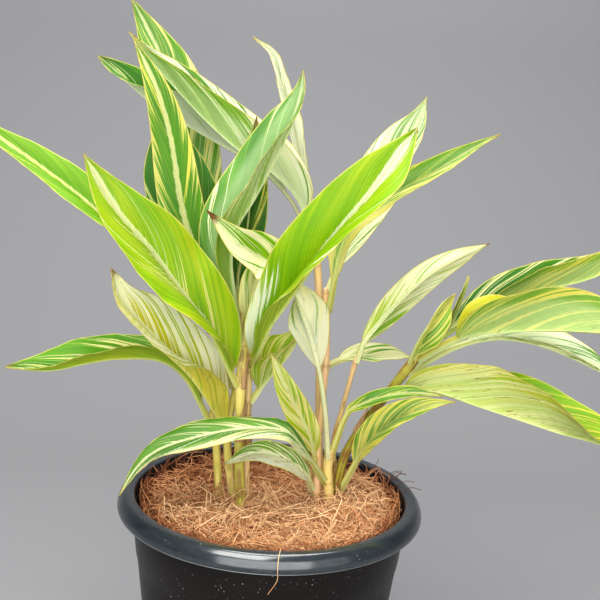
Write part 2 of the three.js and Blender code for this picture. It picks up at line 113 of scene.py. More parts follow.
# Every cane: the height of its foot in the mix, its radius at the top as a share of that at the foot, how
# far it steps in over all its sheaths, how far it swells at a joint and over what length, the spacing of
# its rings and their sides
CANE = {"foot": 166, "taper": 0.82, "sheath": 0.5, "swelling": 0.35, "joint": 10, "row": 1.5, "sides": 24}
# Every leaf: its thickness, the depth of its keel and half the width of its midrib from foot to tip, half
# the width of its stalk, the width of its tip, where its blade is widest, how full its outline is, how far
# its halves arch, how far short of folded shut they have to be to arch in full, both in degrees, the waves
# along its margin, the lengths of its ripples and of its pleats, how far from the middle of its cane it
# starts, as a share of the cane's radius, and the spacing of its rows and how many more there are
BLADE = {
    "thickness": 0.5,
    "keel": [3.6, 1.8, 0.5],
    "rib": [1.8, 0.35],
    "stalk": 2.6,
    "tip": 0.6,
    "widest_at": 0.45,
    "fullness": 1.7,
    "arch": 22,
    "tight": 40,
    "waves": 3,
    "ripples": (5.3, 9.1),
    "pleats": (1.7, 2.9),
    "foot": 0.6,
    "row": 2.8,
    "extra_rows": 14,
}
# How far a side vein runs towards the tip: in millimetres, and added to that its share of half the width
VEIN = {"run": 24, "slant": 1.9}

# Canes: the radius at the foot, and the points that the middle line passes through above the mulch
CANES = {
    "left_cane_1": {
        "radius": 3.8,
        "path": [[-43, 6, 197], [-47, 7, 244], [-52, 8, 280]],
    },
    "left_cane_2": {
        "radius": 3.8,
        "path": [[-30, -2, 198], [-38, -1, 256], [-33, 1, 303]],
    },
    "left_cane_3": {
        "radius": 4.2,
        "path": [[-23, -20, 198], [-27, -18, 246], [-29, -14, 307], [-29, -8, 375]],
    },
    "left_cane_4": {
        "radius": 3.2,
        "path": [[-20, -6, 197], [-22, -4, 259], [-23, -2, 296], [-24, 1, 333]],
    },
    "right_cane_1": {
        "radius": 3.6,
        "path": [[38, 2, 203], [37, 6, 250], [38, 11, 291], [39, 16, 333], [35, 21, 384]],
    },
    "right_cane_2": {
        "radius": 3.6,
        "path": [[43, 18, 201], [38, 22, 253], [33, 30, 346], [28, 36, 396], [20, 42, 449]],
    },
    "right_cane_3": {
        "radius": 4.6,
        "path": [[49, 6, 204], [46, 4, 234], [47, 2, 253]],
    },
    "right_cane_4": {
        "radius": 2.4,
        "path": [[58, 28, 198], [51, 28, 247], [56, 26, 279], [61, 23, 307], [65, 21, 328]],
    },
    "right_cane_5": {
        "radius": 4.4,
        "path": [
            [55, 14, 205], [56, 12, 222], [60, 8, 246], [70, 2, 270], [83, -6, 295], [94, -14, 315],
            [102, -19, 330], [118, -24, 357],
        ],
    },
}

# Leaves: the cane and the height that each springs from, its width, the length of its stalk as a share of
# the whole, the height of its waves and, where it isn't as in BLADE, the place where it is widest. turn is
# how far its upper face turns from the front and fold is the fold of its halves, both in degrees and spread
# evenly from foot to tip. rib holds the points that its midrib passes through.
LEAVES = {
    "left_leaf_01": {
        "cane": "left_cane_4", "height": 315, "width": 40, "stalk": 0.12, "wave": 1.5,
        "turn": [50, 45, 20], "fold": [30, 30, 25],
        "rib": [
            [-53, 6, 342], [-106, -2, 400], [-160, 2, 445], [-196, 8, 469], [-229, 14, 489],
            [-261, 20, 510],
        ],
    },
    "left_leaf_02": {
        "cane": "left_cane_3", "height": 307, "width": 66, "stalk": 0.06, "wave": 2.5,
        "turn": [56, 48, 31, 25, 13], "fold": [62, 52, 35, 31, 27],
        "rib": [[-52, -32, 352], [-76, -47, 386], [-98, -60, 418], [-120, -70, 445], [-144, -77, 485]],
    },
    "left_leaf_03": {
        "cane": "left_cane_2", "height": 264, "width": 64, "stalk": 0, "wave": 1, "widest_at": 0.5,
        "turn": [78, 71, 49, 44, 40], "fold": [78, 74, 49, 44, 40],
        "rib": [
            [-52, -3, 284], [-69, -15, 313], [-89, -28, 336], [-107, -40, 358], [-120, -49, 378],
            [-127, -52, 401],
        ],
    },
    "left_leaf_04": {
        "cane": "left_cane_1", "height": 266, "width": 46, "stalk": 0.08, "wave": 1, "widest_at": 0.56,
        "turn": [70, 70, 55], "fold": [50, 45, 35],
        "rib": [
            [-74, 14, 301], [-95, 4, 319], [-126, -8, 322], [-148, -22, 321], [-175, -36, 317],
            [-205, -50, 321],
        ],
    },
    "left_leaf_05": {
        "cane": "left_cane_4", "height": 329, "width": 56, "stalk": 0.34, "wave": 1.5,
        "turn": [0], "fold": [40, 15, 15],
        "rib": [
            [-57, 40, 371], [-71, 62, 433], [-86, 80, 487], [-102, 92, 535], [-121, 98, 573],
            [-144, 100, 612],
        ],
    },
    "left_leaf_06": {
        "cane": "left_cane_2", "height": 300, "width": 38, "stalk": 0.15, "wave": 1.2,
        "turn": [0], "fold": [40, 22, 22],
        "rib": [[-55, -5, 372], [-79, -10, 437], [-92, -14, 500], [-104, -18, 536], [-123, -12, 571]],
    },
    "left_leaf_07": {
        "cane": "left_cane_3", "height": 339, "width": 60, "stalk": 0.15, "wave": 1.2,
        "turn": [-48, -50, -52, -45, -25], "fold": [58, 58, 56, 50, 35],
        "rib": [
            [-38, -18, 376], [-42, -23, 407], [-39, -25, 432], [-27, -22, 455], [-14, -14, 482],
            [-2, -8, 511], [5, -3, 534], [6, 0, 555],
        ],
    },
    "left_leaf_08": {
        "cane": "left_cane_4", "height": 321, "width": 62, "stalk": 0.06, "wave": 2, "widest_at": 0.52,
        "turn": [-51, -49, -42, -25, -5], "fold": [61, 57, 50, 37, 20],
        "rib": [
            [-16, -28, 342], [-8, -42, 364], [9, -58, 394], [25, -72, 423], [42, -78, 448], [60, -76, 472],
            [89, -62, 517],
        ],
    },
    "left_leaf_09": {
        "cane": "left_cane_3", "height": 357, "width": 32, "stalk": 0.12, "wave": 1,
        "turn": [0], "fold": [30, 20, 20],
        "rib": [[-36, 0, 389], [-31, 2, 426], [-29, 3, 469], [-28, 4, 518]],
    },
    "left_leaf_10": {
        "cane": "left_cane_1", "height": 278, "width": 62, "stalk": 0.25, "wave": 1.5, "widest_at": 0.55,
        "turn": [0], "fold": [40, 15, 15],
        "rib": [[-54, 26, 367], [-68, 27, 404], [-82, 26, 442], [-94, 24, 480], [-103, 22, 520]],
    },
    "left_leaf_11": {
        "cane": "left_cane_4", "height": 290, "width": 52, "stalk": 0.16, "wave": 0.8,
        "turn": [-72, -72, -55], "fold": [62, 62, 45],
        "rib": [[-11, -2, 306], [2, -8, 324], [11, -14, 341], [15, -18, 358]],
    },
    "left_leaf_12": {
        "cane": "left_cane_3", "height": 354, "width": 26, "stalk": 0.15, "wave": 0.8,
        "turn": [0], "fold": [45, 35, 35],
        "rib": [[-25, -22, 374], [-22, -19, 392], [-17, -17, 407], [-12, -16, 420]],
    },
    "right_leaf_01": {
        "cane": "right_cane_2", "height": 426, "width": 62, "stalk": 0.08, "wave": 1.2, "widest_at": 0.38,
        "turn": [68, 68, 66, 58], "fold": [72, 74, 70, 58],
        "rib": [
            [10, 38, 450], [-3, 36, 465], [-23, 35, 480], [-43, 34, 491], [-68, 32, 511], [-91, 28, 533],
            [-115, 22, 558], [-131, 18, 577],
        ],
    },
    "right_leaf_02": {
        "cane": "right_cane_2", "height": 399, "width": 52, "stalk": 0.25, "wave": 1, "widest_at": 0.55,
        "turn": [88, 87, 86, 78, 60, 18], "fold": [72, 75, 76, 78, 60, 22],
        "rib": [
            [8, 56, 441], [-13, 60, 465], [-40, 60, 483], [-76, 58, 501], [-115, 50, 523], [-137, 42, 541],
            [-158, 36, 558],
        ],
    },
    "right_leaf_03": {
        "cane": "right_cane_2", "height": 446, "width": 32, "stalk": 0.1, "wave": 0.5,
        "turn": [0], "fold": [68],
        "rib": [[10, 58, 481], [0, 64, 517], [-10, 66, 545], [-20, 68, 569], [-37, 70, 583]],
    },
    "right_leaf_04": {
        "cane": "right_cane_1", "height": 364, "width": 30, "stalk": 0.12, "wave": 1,
        "turn": [-15, -18, -21], "fold": [45, 42, 41],
        "rib": [[47, 4, 426], [75, -12, 461], [106, -26, 483], [136, -34, 505], [153, -38, 516]],
    },
    "right_leaf_05": {
        "cane": "right_cane_1", "height": 380, "width": 56, "stalk": 0.1, "wave": 1.5,
        "turn": [-27], "fold": [32],
        "rib": [[48, 38, 411], [62, 44, 435], [76, 48, 464], [88, 52, 491], [103, 56, 520], [110, 60, 543]],
    },
    "right_leaf_06": {
        "cane": "right_cane_3", "height": 246, "width": 44, "stalk": 0.35, "wave": 1,
        "turn": [180, 180, 165, 18, 16], "fold": [20, 20, 22, 18, 24],
        "rib": [
            [40, -12, 286], [32, -27, 327], [19, -36, 368], [4, -35, 397], [-17, -36, 413], [-36, -49, 426],
            [-58, -59, 449],
        ],
    },
    "right_leaf_07": {
        "cane": "right_cane_1", "height": 229, "width": 24, "stalk": 0.2, "wave": 0.8,
        "turn": [0], "fold": [40, 25, 25],
        "rib": [[30, -20, 267], [17, -34, 295], [6, -46, 318], [-6, -56, 345]],
    },
    "right_leaf_08": {
        "cane": "right_cane_3", "height": 223, "width": 30, "stalk": 0.15, "wave": 1.5,
        "turn": [25, 66, 68, 54, 45, 45, 45], "fold": [45, 4, -6, 4, 12, 12, 12],
        "rib": [
            [19, -44, 273], [3, -56, 286], [-26, -54, 284], [-57, -51, 275], [-87, -48, 262],
            [-104, -46, 246], [-118, -44, 221],
        ],
    },
    "right_leaf_09": {
        "cane": "right_cane_1", "height": 213, "width": 24, "stalk": 0.15, "wave": 1,
        "turn": [40], "fold": [30, 15, 15],
        "rib": [[28, -10, 233], [10, -22, 250], [-14, -34, 258], [-39, -42, 250]],
    },
    "right_leaf_10": {
        "cane": "right_cane_4", "height": 322, "width": 27, "stalk": 0.1, "wave": 1,
        "turn": [180], "fold": [20],
        "rib": [
            [70, 24, 339], [82, 28, 356], [100, 34, 377], [124, 40, 399], [151, 46, 415], [172, 50, 425],
        ],
    },
    "right_leaf_11": {
        "cane": "right_cane_1", "height": 320, "width": 26, "stalk": 0.2, "wave": 0.5,
        "turn": [-45], "fold": [30],
        "rib": [[52, 30, 322], [69, 36, 324], [93, 42, 324], [114, 46, 324]],
    },
    "right_leaf_12": {
        "cane": "right_cane_5", "height": 333, "width": 28, "stalk": 0.15, "wave": 0.8,
        "turn": [35], "fold": [45],
        "rib": [[108, -34, 355], [114, -39, 370], [122, -35, 385], [133, -28, 393]],
    },
    "right_leaf_13": {
        "cane": "right_cane_5", "height": 356, "width": 14, "stalk": 0.1, "wave": 0,
        "turn": [-18], "fold": [80],
        "rib": [[131, -19, 366], [140, -18, 390], [144, -17, 406]],
    },
    "right_leaf_14": {
        "cane": "right_cane_5", "height": 339, "width": 76, "stalk": 0.22, "wave": 1.5, "widest_at": 0.36,
        "turn": [-48, -52, -55, -92, -102, -106, -106, -102], "fold": [58, 56, 57, 38, 46, 56, 56, 56],
        "rib": [
            [129, -42, 359], [144, -52, 368], [162, -62, 373], [192, -74, 378], [228, -86, 381],
            [274, -94, 379],
        ],
    },
    "right_leaf_15": {
        "cane": "right_cane_5", "height": 326, "width": 40, "stalk": 0.3, "wave": 1.2,
        "turn": [-58], "fold": [30],
        "rib": [[133, -26, 350], [167, -28, 361], [204, -34, 358], [246, -42, 343], [266, -46, 333]],
    },
    "right_leaf_16": {
        "cane": "right_cane_5", "height": 310, "width": 70, "stalk": 0.04, "wave": 1.5, "widest_at": 0.42,
        "turn": [-98, -102, -89, -70, -48, -48], "fold": [52, 56, 69, 70, 48, 48],
        "rib": [
            [120, -26, 315], [157, -44, 309], [185, -58, 305], [213, -68, 300], [241, -76, 296],
            [273, -84, 287],
        ],
    },
    "right_leaf_17": {
        "cane": "right_cane_5", "height": 352, "width": 46, "stalk": 0.1, "wave": 1.2,
        "turn": [-42, -45, -70, -85, -82], "fold": [48, 50, 70, 70, 68],
        "rib": [
            [130, -8, 357], [149, -2, 370], [175, 4, 385], [208, 10, 394], [257, 16, 409], [311, 22, 445],
        ],
    },
    "right_leaf_18": {
        "cane": "right_cane_3", "height": 250, "width": 15, "stalk": 0.3, "wave": 0.8,
        "turn": [-35], "fold": [25],
        "rib": [[57, -13, 287], [67, -20, 298], [83, -28, 308], [105, -36, 315], [128, -40, 315]],
    },
    "right_leaf_19": {
        "cane": "right_cane_5", "height": 211, "width": 32, "stalk": 0.22, "wave": 0.8,
        "turn": [-32], "fold": [44],
        "rib": [
            [67, 2, 239], [73, -6, 256], [82, -18, 274], [95, -34, 292], [114, -50, 308], [134, -60, 317],
        ],
    },
}

# Finish of each leaf. top is the green of its upper face, from 0 dark over 1 lime to 1.2 yellow, how yellow
# its cream is and how far a painted sheen lightens it. left and right give the share of cream in each half,
# beside the midrib, in the middle and at the margin. band is half the width of the pale band along the
# midrib at the foot and at the tip, in millimetres. under is the lower face: its green, its share of cream,
# how yellow that is, how far a bloom covers them, partly a dull bloom of its own and partly painted sheen,
# and the colour of the bloom, from 0 olive to 1 silvery. dry is how brown its tip is and how many brown
# flecks it has. foot is how much more cream the left half, the right half and the lower face have near the
# stalk. right is left out where it is the same as left, and dry and foot where they are plain.
LOOKS = {
    "left_leaf_01": {
        "top": [0.72, 0.9, 0.0], "band": [3, 1.5], "left": [0.0, 0.0, 0.1], "right": [-0.2, -0.1, 0.0],
        "under": [0.8, 0.4, 0.8, 0.4, 0.3],
    },
    "left_leaf_02": {
        "top": [0.92, 0.55, 0.03], "band": [2.5, 3], "left": [0.45, 0.25, 0], "right": [0.25, 0.1, -0.1],
        "under": [0.95, 0.15, 0.8, 0.25, 0],
    },
    "left_leaf_03": {
        "top": [1.15, 0.12, 0.0], "band": [4, 3], "left": [0.55, 0.5, 0.5], "right": [0.45, 0.6, 0.8],
        "under": [1.1, 0.6, 0.95, 0.1, 0], "dry": [0.6, 0.12],
    },
    "left_leaf_04": {
        "top": [0.55, 0.5, 0.0], "band": [2, 1], "left": [0.4, 0.2, 0.1], "right": [0.35, 0.3, 0.1],
        "under": [0.95, 0.1, 0.9, 0.15, 0],
    },
    "left_leaf_05": {
        "top": [0.55, 0.6, 0.15], "band": [2, 1.5], "left": [0.2, 0.25, 0.4], "right": [0.3, 0.3, 0.5],
        "under": [0.6, 0.3, 0.6, 0.4, 0.3],
    },
    "left_leaf_06": {
        "top": [0.5, 0.8, 0.05], "band": [4.6, 1.4], "left": [0.2, 0.25, 0.6], "right": [0.1, 0.25, 0.6],
        "under": [0.6, 0.3, 0.8, 0.4, 0.3],
    },
    "left_leaf_07": {
        "top": [0.45, 0.15, 0.46], "band": [2.5, 1.5], "left": [0.05, 0.1, 0.3], "right": [0.2, 0.3, 0.4],
        "under": [0.85, 0.65, 0.3, 0.35, 0.6], "foot": [0, 0, -0.8],
    },
    "left_leaf_08": {
        "top": [0.88, 0.1, 0], "band": [0.5, 4.5], "left": [0.15, 0, -0.2], "right": [0.2, 0.05, 0.3],
        "under": [0.98, 0.15, 0.8, 0.2, 0], "foot": [0.9, 0, 0],
    },
    "left_leaf_09": {
        "top": [0.12, 0.7, 0.03], "band": [1, 0], "left": [0.1, 0.05, 0.1], "right": [0.2, 0.1, 0.2],
        "under": [0.4, 0.3, 0.5, 0.4, 0.3], "dry": [0.8, 0.25],
    },
    "left_leaf_10": {
        "top": [0.25, 0.5, 0.15], "band": [1, 0], "left": [0.1, 0.1, 0.2], "right": [0.1, 0.1, 0.1],
        "under": [0.4, 0.3, 0.5, 0.4, 0.3],
    },
    "left_leaf_11": {
        "top": [0.95, 0.6, 0.03], "band": [1, 1], "left": [0.3, 0.35, 0.5], "right": [0.4, 0.4, 0.6],
        "under": [0.95, 0.45, 0.5, 0.2, 0.3],
    },
    "left_leaf_12": {
        "top": [0.75, 0.5, 0], "band": [2, 1], "left": [0.7, 0.65, 0.6],
        "under": [0.8, 0.4, 0.5, 0.4, 0.3],
    },
    "right_leaf_01": {
        "top": [0.4, 0.0, 0.1], "band": [2, 1.5], "left": [0.6, 0.5, 0.6], "right": [0.45, 0.5, 0.5],
        "under": [0.85, 0.3, 0.1, 0.55, 0.9], "foot": [0.3, 1.4, 0.55],
    },
    "right_leaf_02": {
        "top": [0.3, 0.3, 0.03], "band": [2, 1], "left": [0.3, 0.15, 0.2],
        "under": [0.8, 0.82, 0.05, 0.15, 0.8], "foot": [0, 0, 0.3],
    },
    "right_leaf_03": {
        "top": [0.6, -0.2, 0.03], "band": [2, 1], "left": [0.9, 0.8, 0.7], "right": [0.8, 0.8, 0.7],
        "under": [0.7, 0.85, 0, 0.2, 0.9],
    },
    "right_leaf_04": {
        "top": [0.6, 0.75, 0.25], "band": [2, 1], "left": [0.2, 0.15, 0.3], "right": [0.4, 0.5, 0.6],
        "under": [0.7, 0.5, 0.8, 0.3, 0.3], "foot": [0.6, 0.6, 0.7],
    },
    "right_leaf_05": {
        "top": [0.4, 0.15, 0.35], "band": [2, 1], "left": [0.5, 0.5, 0.55],
        "under": [0.7, 0.85, 0.05, 0.15, 0.6],
    },
    "right_leaf_06": {
        "top": [0.7, 0.35, 0.0], "band": [2, 1], "left": [0.6, 0.65, 0.7], "right": [0.45, 0.5, 0.6],
        "under": [0.85, 0.7, 0.15, 0.05, 0.3], "dry": [1, 0.1], "foot": [0.5, 0.2, 0.4],
    },
    "right_leaf_07": {
        "top": [0.98, 0.6, 0.0], "band": [2, 1.5], "left": [0.55, 0.5, 0.55],
        "under": [0.98, 0.5, 0.8, 0.1, 0],
    },
    "right_leaf_08": {
        "top": [0.45, 0.35, 0.12], "band": [1.5, 1.2], "left": [0.4, 0.3, 0.8], "right": [0.4, 0.25, 0.1],
        "under": [0.75, 0.3, 0.7, 0.3, 0.3], "foot": [0.8, 0, -0.2],
    },
    "right_leaf_09": {
        "top": [0.6, 0.15, 0.03], "band": [2, 2], "left": [0.8, 1.0, 1.0], "right": [0.35, 0.3, 0.2],
        "under": [0.7, 0.75, 0.2, 0.3, 0.6], "dry": [0.4, 0.26],
    },
    "right_leaf_10": {
        "top": [0.8, 0.1, 0.03], "band": [2, 1], "left": [0.6, 0.6, 0.7],
        "under": [0.9, 0.75, 0.3, 0.15, 0.3], "dry": [0.7, 0.08], "foot": [0, 0, -0.35],
    },
    "right_leaf_11": {
        "top": [0.7, 0.3, 0.03], "band": [2, 1], "left": [0.7, 0.6, 0.6],
        "under": [0.7, 0.7, 0.3, 0.4, 0.7],
    },
    "right_leaf_12": {
        "top": [0.75, 0.8, 0.1], "band": [1.5, 1], "left": [0.5, 0.55, 0.6],
        "under": [0.7, 0.5, 0.6, 0.4, 0.3],
    },
    "right_leaf_13": {
        "top": [0.8, 0.6, 0.03], "band": [1, 1], "left": [0.4, 0.5, 0.6],
        "under": [0.7, 0.4, 0.6, 0.4, 0.3],
    },
    "right_leaf_14": {
        "top": [1.2, 1.0, 0.0], "band": [1, 1], "left": [0.2, 0.25, 0.45], "right": [0.5, 0.4, 0.4],
        "under": [0.7, 0.4, 0.8, 0.6, 0.6], "dry": [0.4, 0.14],
    },
    "right_leaf_15": {
        "top": [0.5, 0.1, 0.35], "band": [2, 1], "left": [0.7, 0.65, 0.5],
        "under": [0.5, 0.6, 0.2, 0.3, 0.3],
    },
    "right_leaf_16": {
        "top": [0.85, 0.9, 0.03], "band": [1, 1], "left": [0.3, 0.3, 0.2], "right": [0.3, 0.2, 0.5],
        "under": [1.1, 0.5, 0.6, 0.6, 0.35], "dry": [0.4, 0.2],
    },
    "right_leaf_17": {
        "top": [0.25, 0.4, 0.03], "band": [2, 1.5], "left": [0.4, 0.35, 0.3], "right": [0.5, 0.35, 0.3],
        "under": [0.85, 0.3, 0.9, 0.55, 0.45],
    },
    "right_leaf_18": {
        "top": [0.55, 0.9, 0.12], "band": [1.5, 1], "left": [0.3, 0.25, 0.2],
        "under": [0.7, 0.4, 0.6, 0.4, 0.3], "foot": [0.4, 0.4, 0.4],
    },
    "right_leaf_19": {
        "top": [0.6, 0.85, 0.2], "band": [1.5, 1], "left": [0.5, 0.5, 0.5], "right": [0.48, 0.48, 0.48],
        "under": [0.7, 0.4, 0.6, 0.4, 0.3], "foot": [0.1, 0.3, 0.3],
    },
}
# Colour of each cane at its foot and its top, from 0 pinkish tan over 0.5 cream to 1 olive, and how many
# brown marks it has
CANE_LOOKS = {
    "left_cane_1": {"tint": [0.55, 0.6], "marks": 0.2},
    "left_cane_2": {"tint": [0.4, 0.65], "marks": 0.3},
    "left_cane_3": {"tint": [0.8, 0.42], "marks": 0.6},
    "left_cane_4": {"tint": [0.3, 0.4], "marks": 0.6},
    "right_cane_1": {"tint": [0.3, 0.2], "marks": 0.4},
    "right_cane_2": {"tint": [0.35, 0.3], "marks": 0.1},
    "right_cane_3": {"tint": [0.4, 0.4], "marks": 0.2},
    "right_cane_4": {"tint": [0.5, 0.3], "marks": 0.6},
    "right_cane_5": {"tint": [0.95, 0.75], "marks": 0.7},
}
# Dry scraps of old sheaths: the cane, the heights of the lower and the upper edge, the bearing of the
# middle, from the right towards the front, and the angle wrapped at the lower edge, in degrees, and how far
# the tip stands off
SCRAPS = {
    "sheath_scrap_1": ["left_cane_3", 262, 294, 50, 150, 1.6],
    "sheath_scrap_2": ["left_cane_4", 254, 281, 70, 130, 1.2],
    "sheath_scrap_3": ["left_cane_3", 305, 330, 20, 130, 1.5],
    "sheath_scrap_4": ["right_cane_5", 268, 296, 170, 140, 1.8],
}
# Backdrop: half its width, its front edge, where it starts to sweep up, the sweep's radius and its top
BACKDROP = {"half_width": 9000, "front": -6000, "back": 600, "sweep": 700, "top": 5000, "steps": 24}
# Lamps: the place, the width and height in metres, the power in watts and the colour
LAMPS = {
    "key": [(-0.5, -1.2, 2.1), (1.3, 1.3), 57, (1, 0.985, 0.95)],
    "front": [(-0.05, -1.7, 0.6), (2.1, 1.3), 33, (0.96, 0.98, 1)],
    "fill": [(1.3, -1.6, 0.7), (1.4, 1.4), 5, (0.97, 0.99, 1)],
    "top": [(0.1, 0.2, 2.0), (1, 1), 38, (1, 1, 1)],
}
LAMPS_AIM = (0, 0, 0.3)
DAYLIGHT = {"colour": (0.9, 0.95, 1, 1), "strength": 0.2}
# The photograph's viewpoint: the place of the lens and what it aims at, in metres, and its width of view
# and its roll, in degrees
CAMERA = {"eye": (0, -0.7474, 0.51395), "aim": (0.0143, 0, 0.3763), "view": 35, "roll": 3.57, "sensor": 36}


# Numbers and curves


def blend(a, b, t):
    return a + (b - a) * t


def along(values, u):
    """A list spread evenly over 0 to 1, read at u."""
    return np.interp(u, np.linspace(0, 1, len(values)), values)


def rise(low, high, x):
    """0 below low, 1 above high, smooth between."""
    t = np.clip((x - low) / (high - low), 0, 1)
    return t * t * (3 - 2 * t)


def unit(v):
    return v / np.linalg.norm(v, axis=-1, keepdims=True)


def full_turn(count):
    """Angles spread evenly round a circle."""
    return 2 * np.pi * np.arange(count) / count


def two_waves(place, lengths, phases):
    """The sum of two sine waves of different lengths."""
    return np.sin(place / lengths[0] + phases[0]) + np.sin(place / lengths[1] + phases[1])


class Curve:
    """A smooth curve through points, read by the share of its length."""

    def __init__(self, points, per_span=60):
        p = np.array(points, float)
        p = np.vstack([2 * p[0] - p[1], p, 2 * p[-1] - p[-2]])
        spans = len(p) - 3
        t = np.linspace(0, spans, spans * per_span + 1)
        k = np.minimum(t.astype(int), spans - 1)
        f = (t - k)[:, None]
        before, start, end, after = p[k], p[k + 1], p[k + 2], p[k + 3]
        leave, arrive = (end - before) / 2, (after - start) / 2
        cubic = 2 * (start - end) + leave + arrive
        square = 3 * (end - start) - 2 * leave - arrive
        self.points = cubic * f**3 + square * f**2 + leave * f + start
        self.ahead = unit(3 * cubic * f**2 + 2 * square * f + leave)
        steps = np.linalg.norm(np.diff(self.points, axis=0), axis=1)
        self.length = steps.sum()
        self.share = np.append(0, steps.cumsum()) / self.length

    def read(self, values, u):
        return np.stack([np.interp(u, self.share, column) for column in values.T], axis=-1)

    def frame(self, u):
        """Points, and the directions along the curve, across it and towards the front."""
        ahead = unit(self.read(self.ahead, u))
        side = unit(np.cross(ahead, FRONT))
        return self.read(self.points, u), ahead, side, np.cross(side, ahead)


def cane_curve(name):
    path = CANES[name]["path"]
    return Curve([[path[0][0], path[0][1], CANE["foot"]], *path])


def on_cane(name, height):
    """The point at a height on the middle line of a cane."""
    curve = cane_curve(name)
    return curve.read(curve.points, np.interp(height, curve.points[:, 2], curve.share))


# Meshes


def new_object(name, vertices, faces):
    """A mesh object from points in millimetres."""
    mesh = bpy.data.meshes.new(name)
    mesh.from_pydata((np.asarray(vertices) * MM).tolist(), [], faces)
    made = bpy.data.objects.new(name, mesh)
    bpy.context.scene.collection.objects.link(made)
    return made


def new_skin(name, vertices, faces, material):
    """A smooth mesh object of one material, from points in millimetres."""
    made = new_object(name, vertices, faces)
    made.data.shade_smooth()
    made.data.materials.append(material)
    return made


def settle(piece):
    """Turns what a piece's modifiers show into its own mesh."""
    bpy.context.view_layer.update()
    evaluated = piece.evaluated_get(bpy.context.evaluated_depsgraph_get())
    mesh = bpy.data.meshes.new_from_object(evaluated)
    piece.modifiers.clear()
    piece.data = mesh


def fit(piece, replaced=()):
    """Makes a finished object a piece of the part, in place of the CAD nodes that it replaces."""
    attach(piece, "root")
    if replaced:
        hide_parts(*replaced)


def new_piece(name, vertices, faces, material, replaced=()):
    """A smooth piece of the part, from points in millimetres."""
    piece = new_skin(name, vertices, faces, material)
    fit(piece, replaced)
    return piece


def set_attribute(piece, name, values):
    """A vector for each vertex, which the piece's material reads."""
    attribute = piece.data.attributes.new(name, "FLOAT_VECTOR", "POINT")
    attribute.data.foreach_set("vector", np.asarray(values, np.float32).ravel())


def tube_faces(rows, around):
    """Quads between rings of the same number of points, with both ends closed by fans of strips."""
    faces = []
    for k in range(rows - 1):
        for i in range(around):
            j = (i + 1) % around
            faces.append((k * around + i, k * around + j, (k + 1) * around + j, (k + 1) * around + i))
    last = (rows - 1) * around
    for i in range(around // 2 - 1):
        j = around - 1 - i
        faces.append((i, j, j - 1, i + 1))
        faces.append((last + i, last + i + 1, last + j - 1, last + j))
    return faces


def stem_points(curve, u, radius, around):
    """Rings round a curve, and the angle of each point in its ring."""
    at, _, side, face = curve.frame(u)
    angle = 2 * np.pi * (np.arange(around) + 0.5) / around
    outwards = side[:, None] * -np.cos(angle)[:, None] + face[:, None] * np.sin(angle)[:, None]
    radius = np.broadcast_to(np.reshape(radius, (len(u), -1)), (len(u), around))
    return at[:, None] + outwards * radius[..., None], angle


def lathe(name, outline, sides, material):
    """A closed solid turned round the upright axis; the outline starts and ends on it."""
    outline = np.array(outline, float)
    inner = outline[1:-1]
    angle = full_turn(sides)
    rings = inner[:, None, :1] * np.stack([np.cos(angle), np.sin(angle)], axis=-1)
    heights = np.broadcast_to(inner[:, None, 1:], (len(inner), sides, 1))
    points = np.concatenate([rings, heights], axis=-1).reshape(-1, 3)
    ends = [[0, 0, outline[0][1]], [0, 0, outline[-1][1]]]
    start, end = len(points), len(points) + 1
    last = (len(inner) - 1) * sides
    faces = []
    for i in range(sides):
        j = (i + 1) % sides
        faces.append((start, j, i))
        faces.append((end, last + i, last + j))
        for below in range(0, last, sides):
            above = below + sides
            faces.append((below + i, below + j, above + j, above + i))
    return new_skin(name, np.vstack([points, ends]), faces, material)


# Material graphs


def rgb(red, green, blue):
    """A screen colour from 0 to 255 as the four numbers that a colour socket takes."""
    values = [c / 255 for c in (red, green, blue)]
    return [c / 12.92 if c <= 0.04045 else ((c + 0.055) / 1.055) ** 2.4 for c in values] + [1]


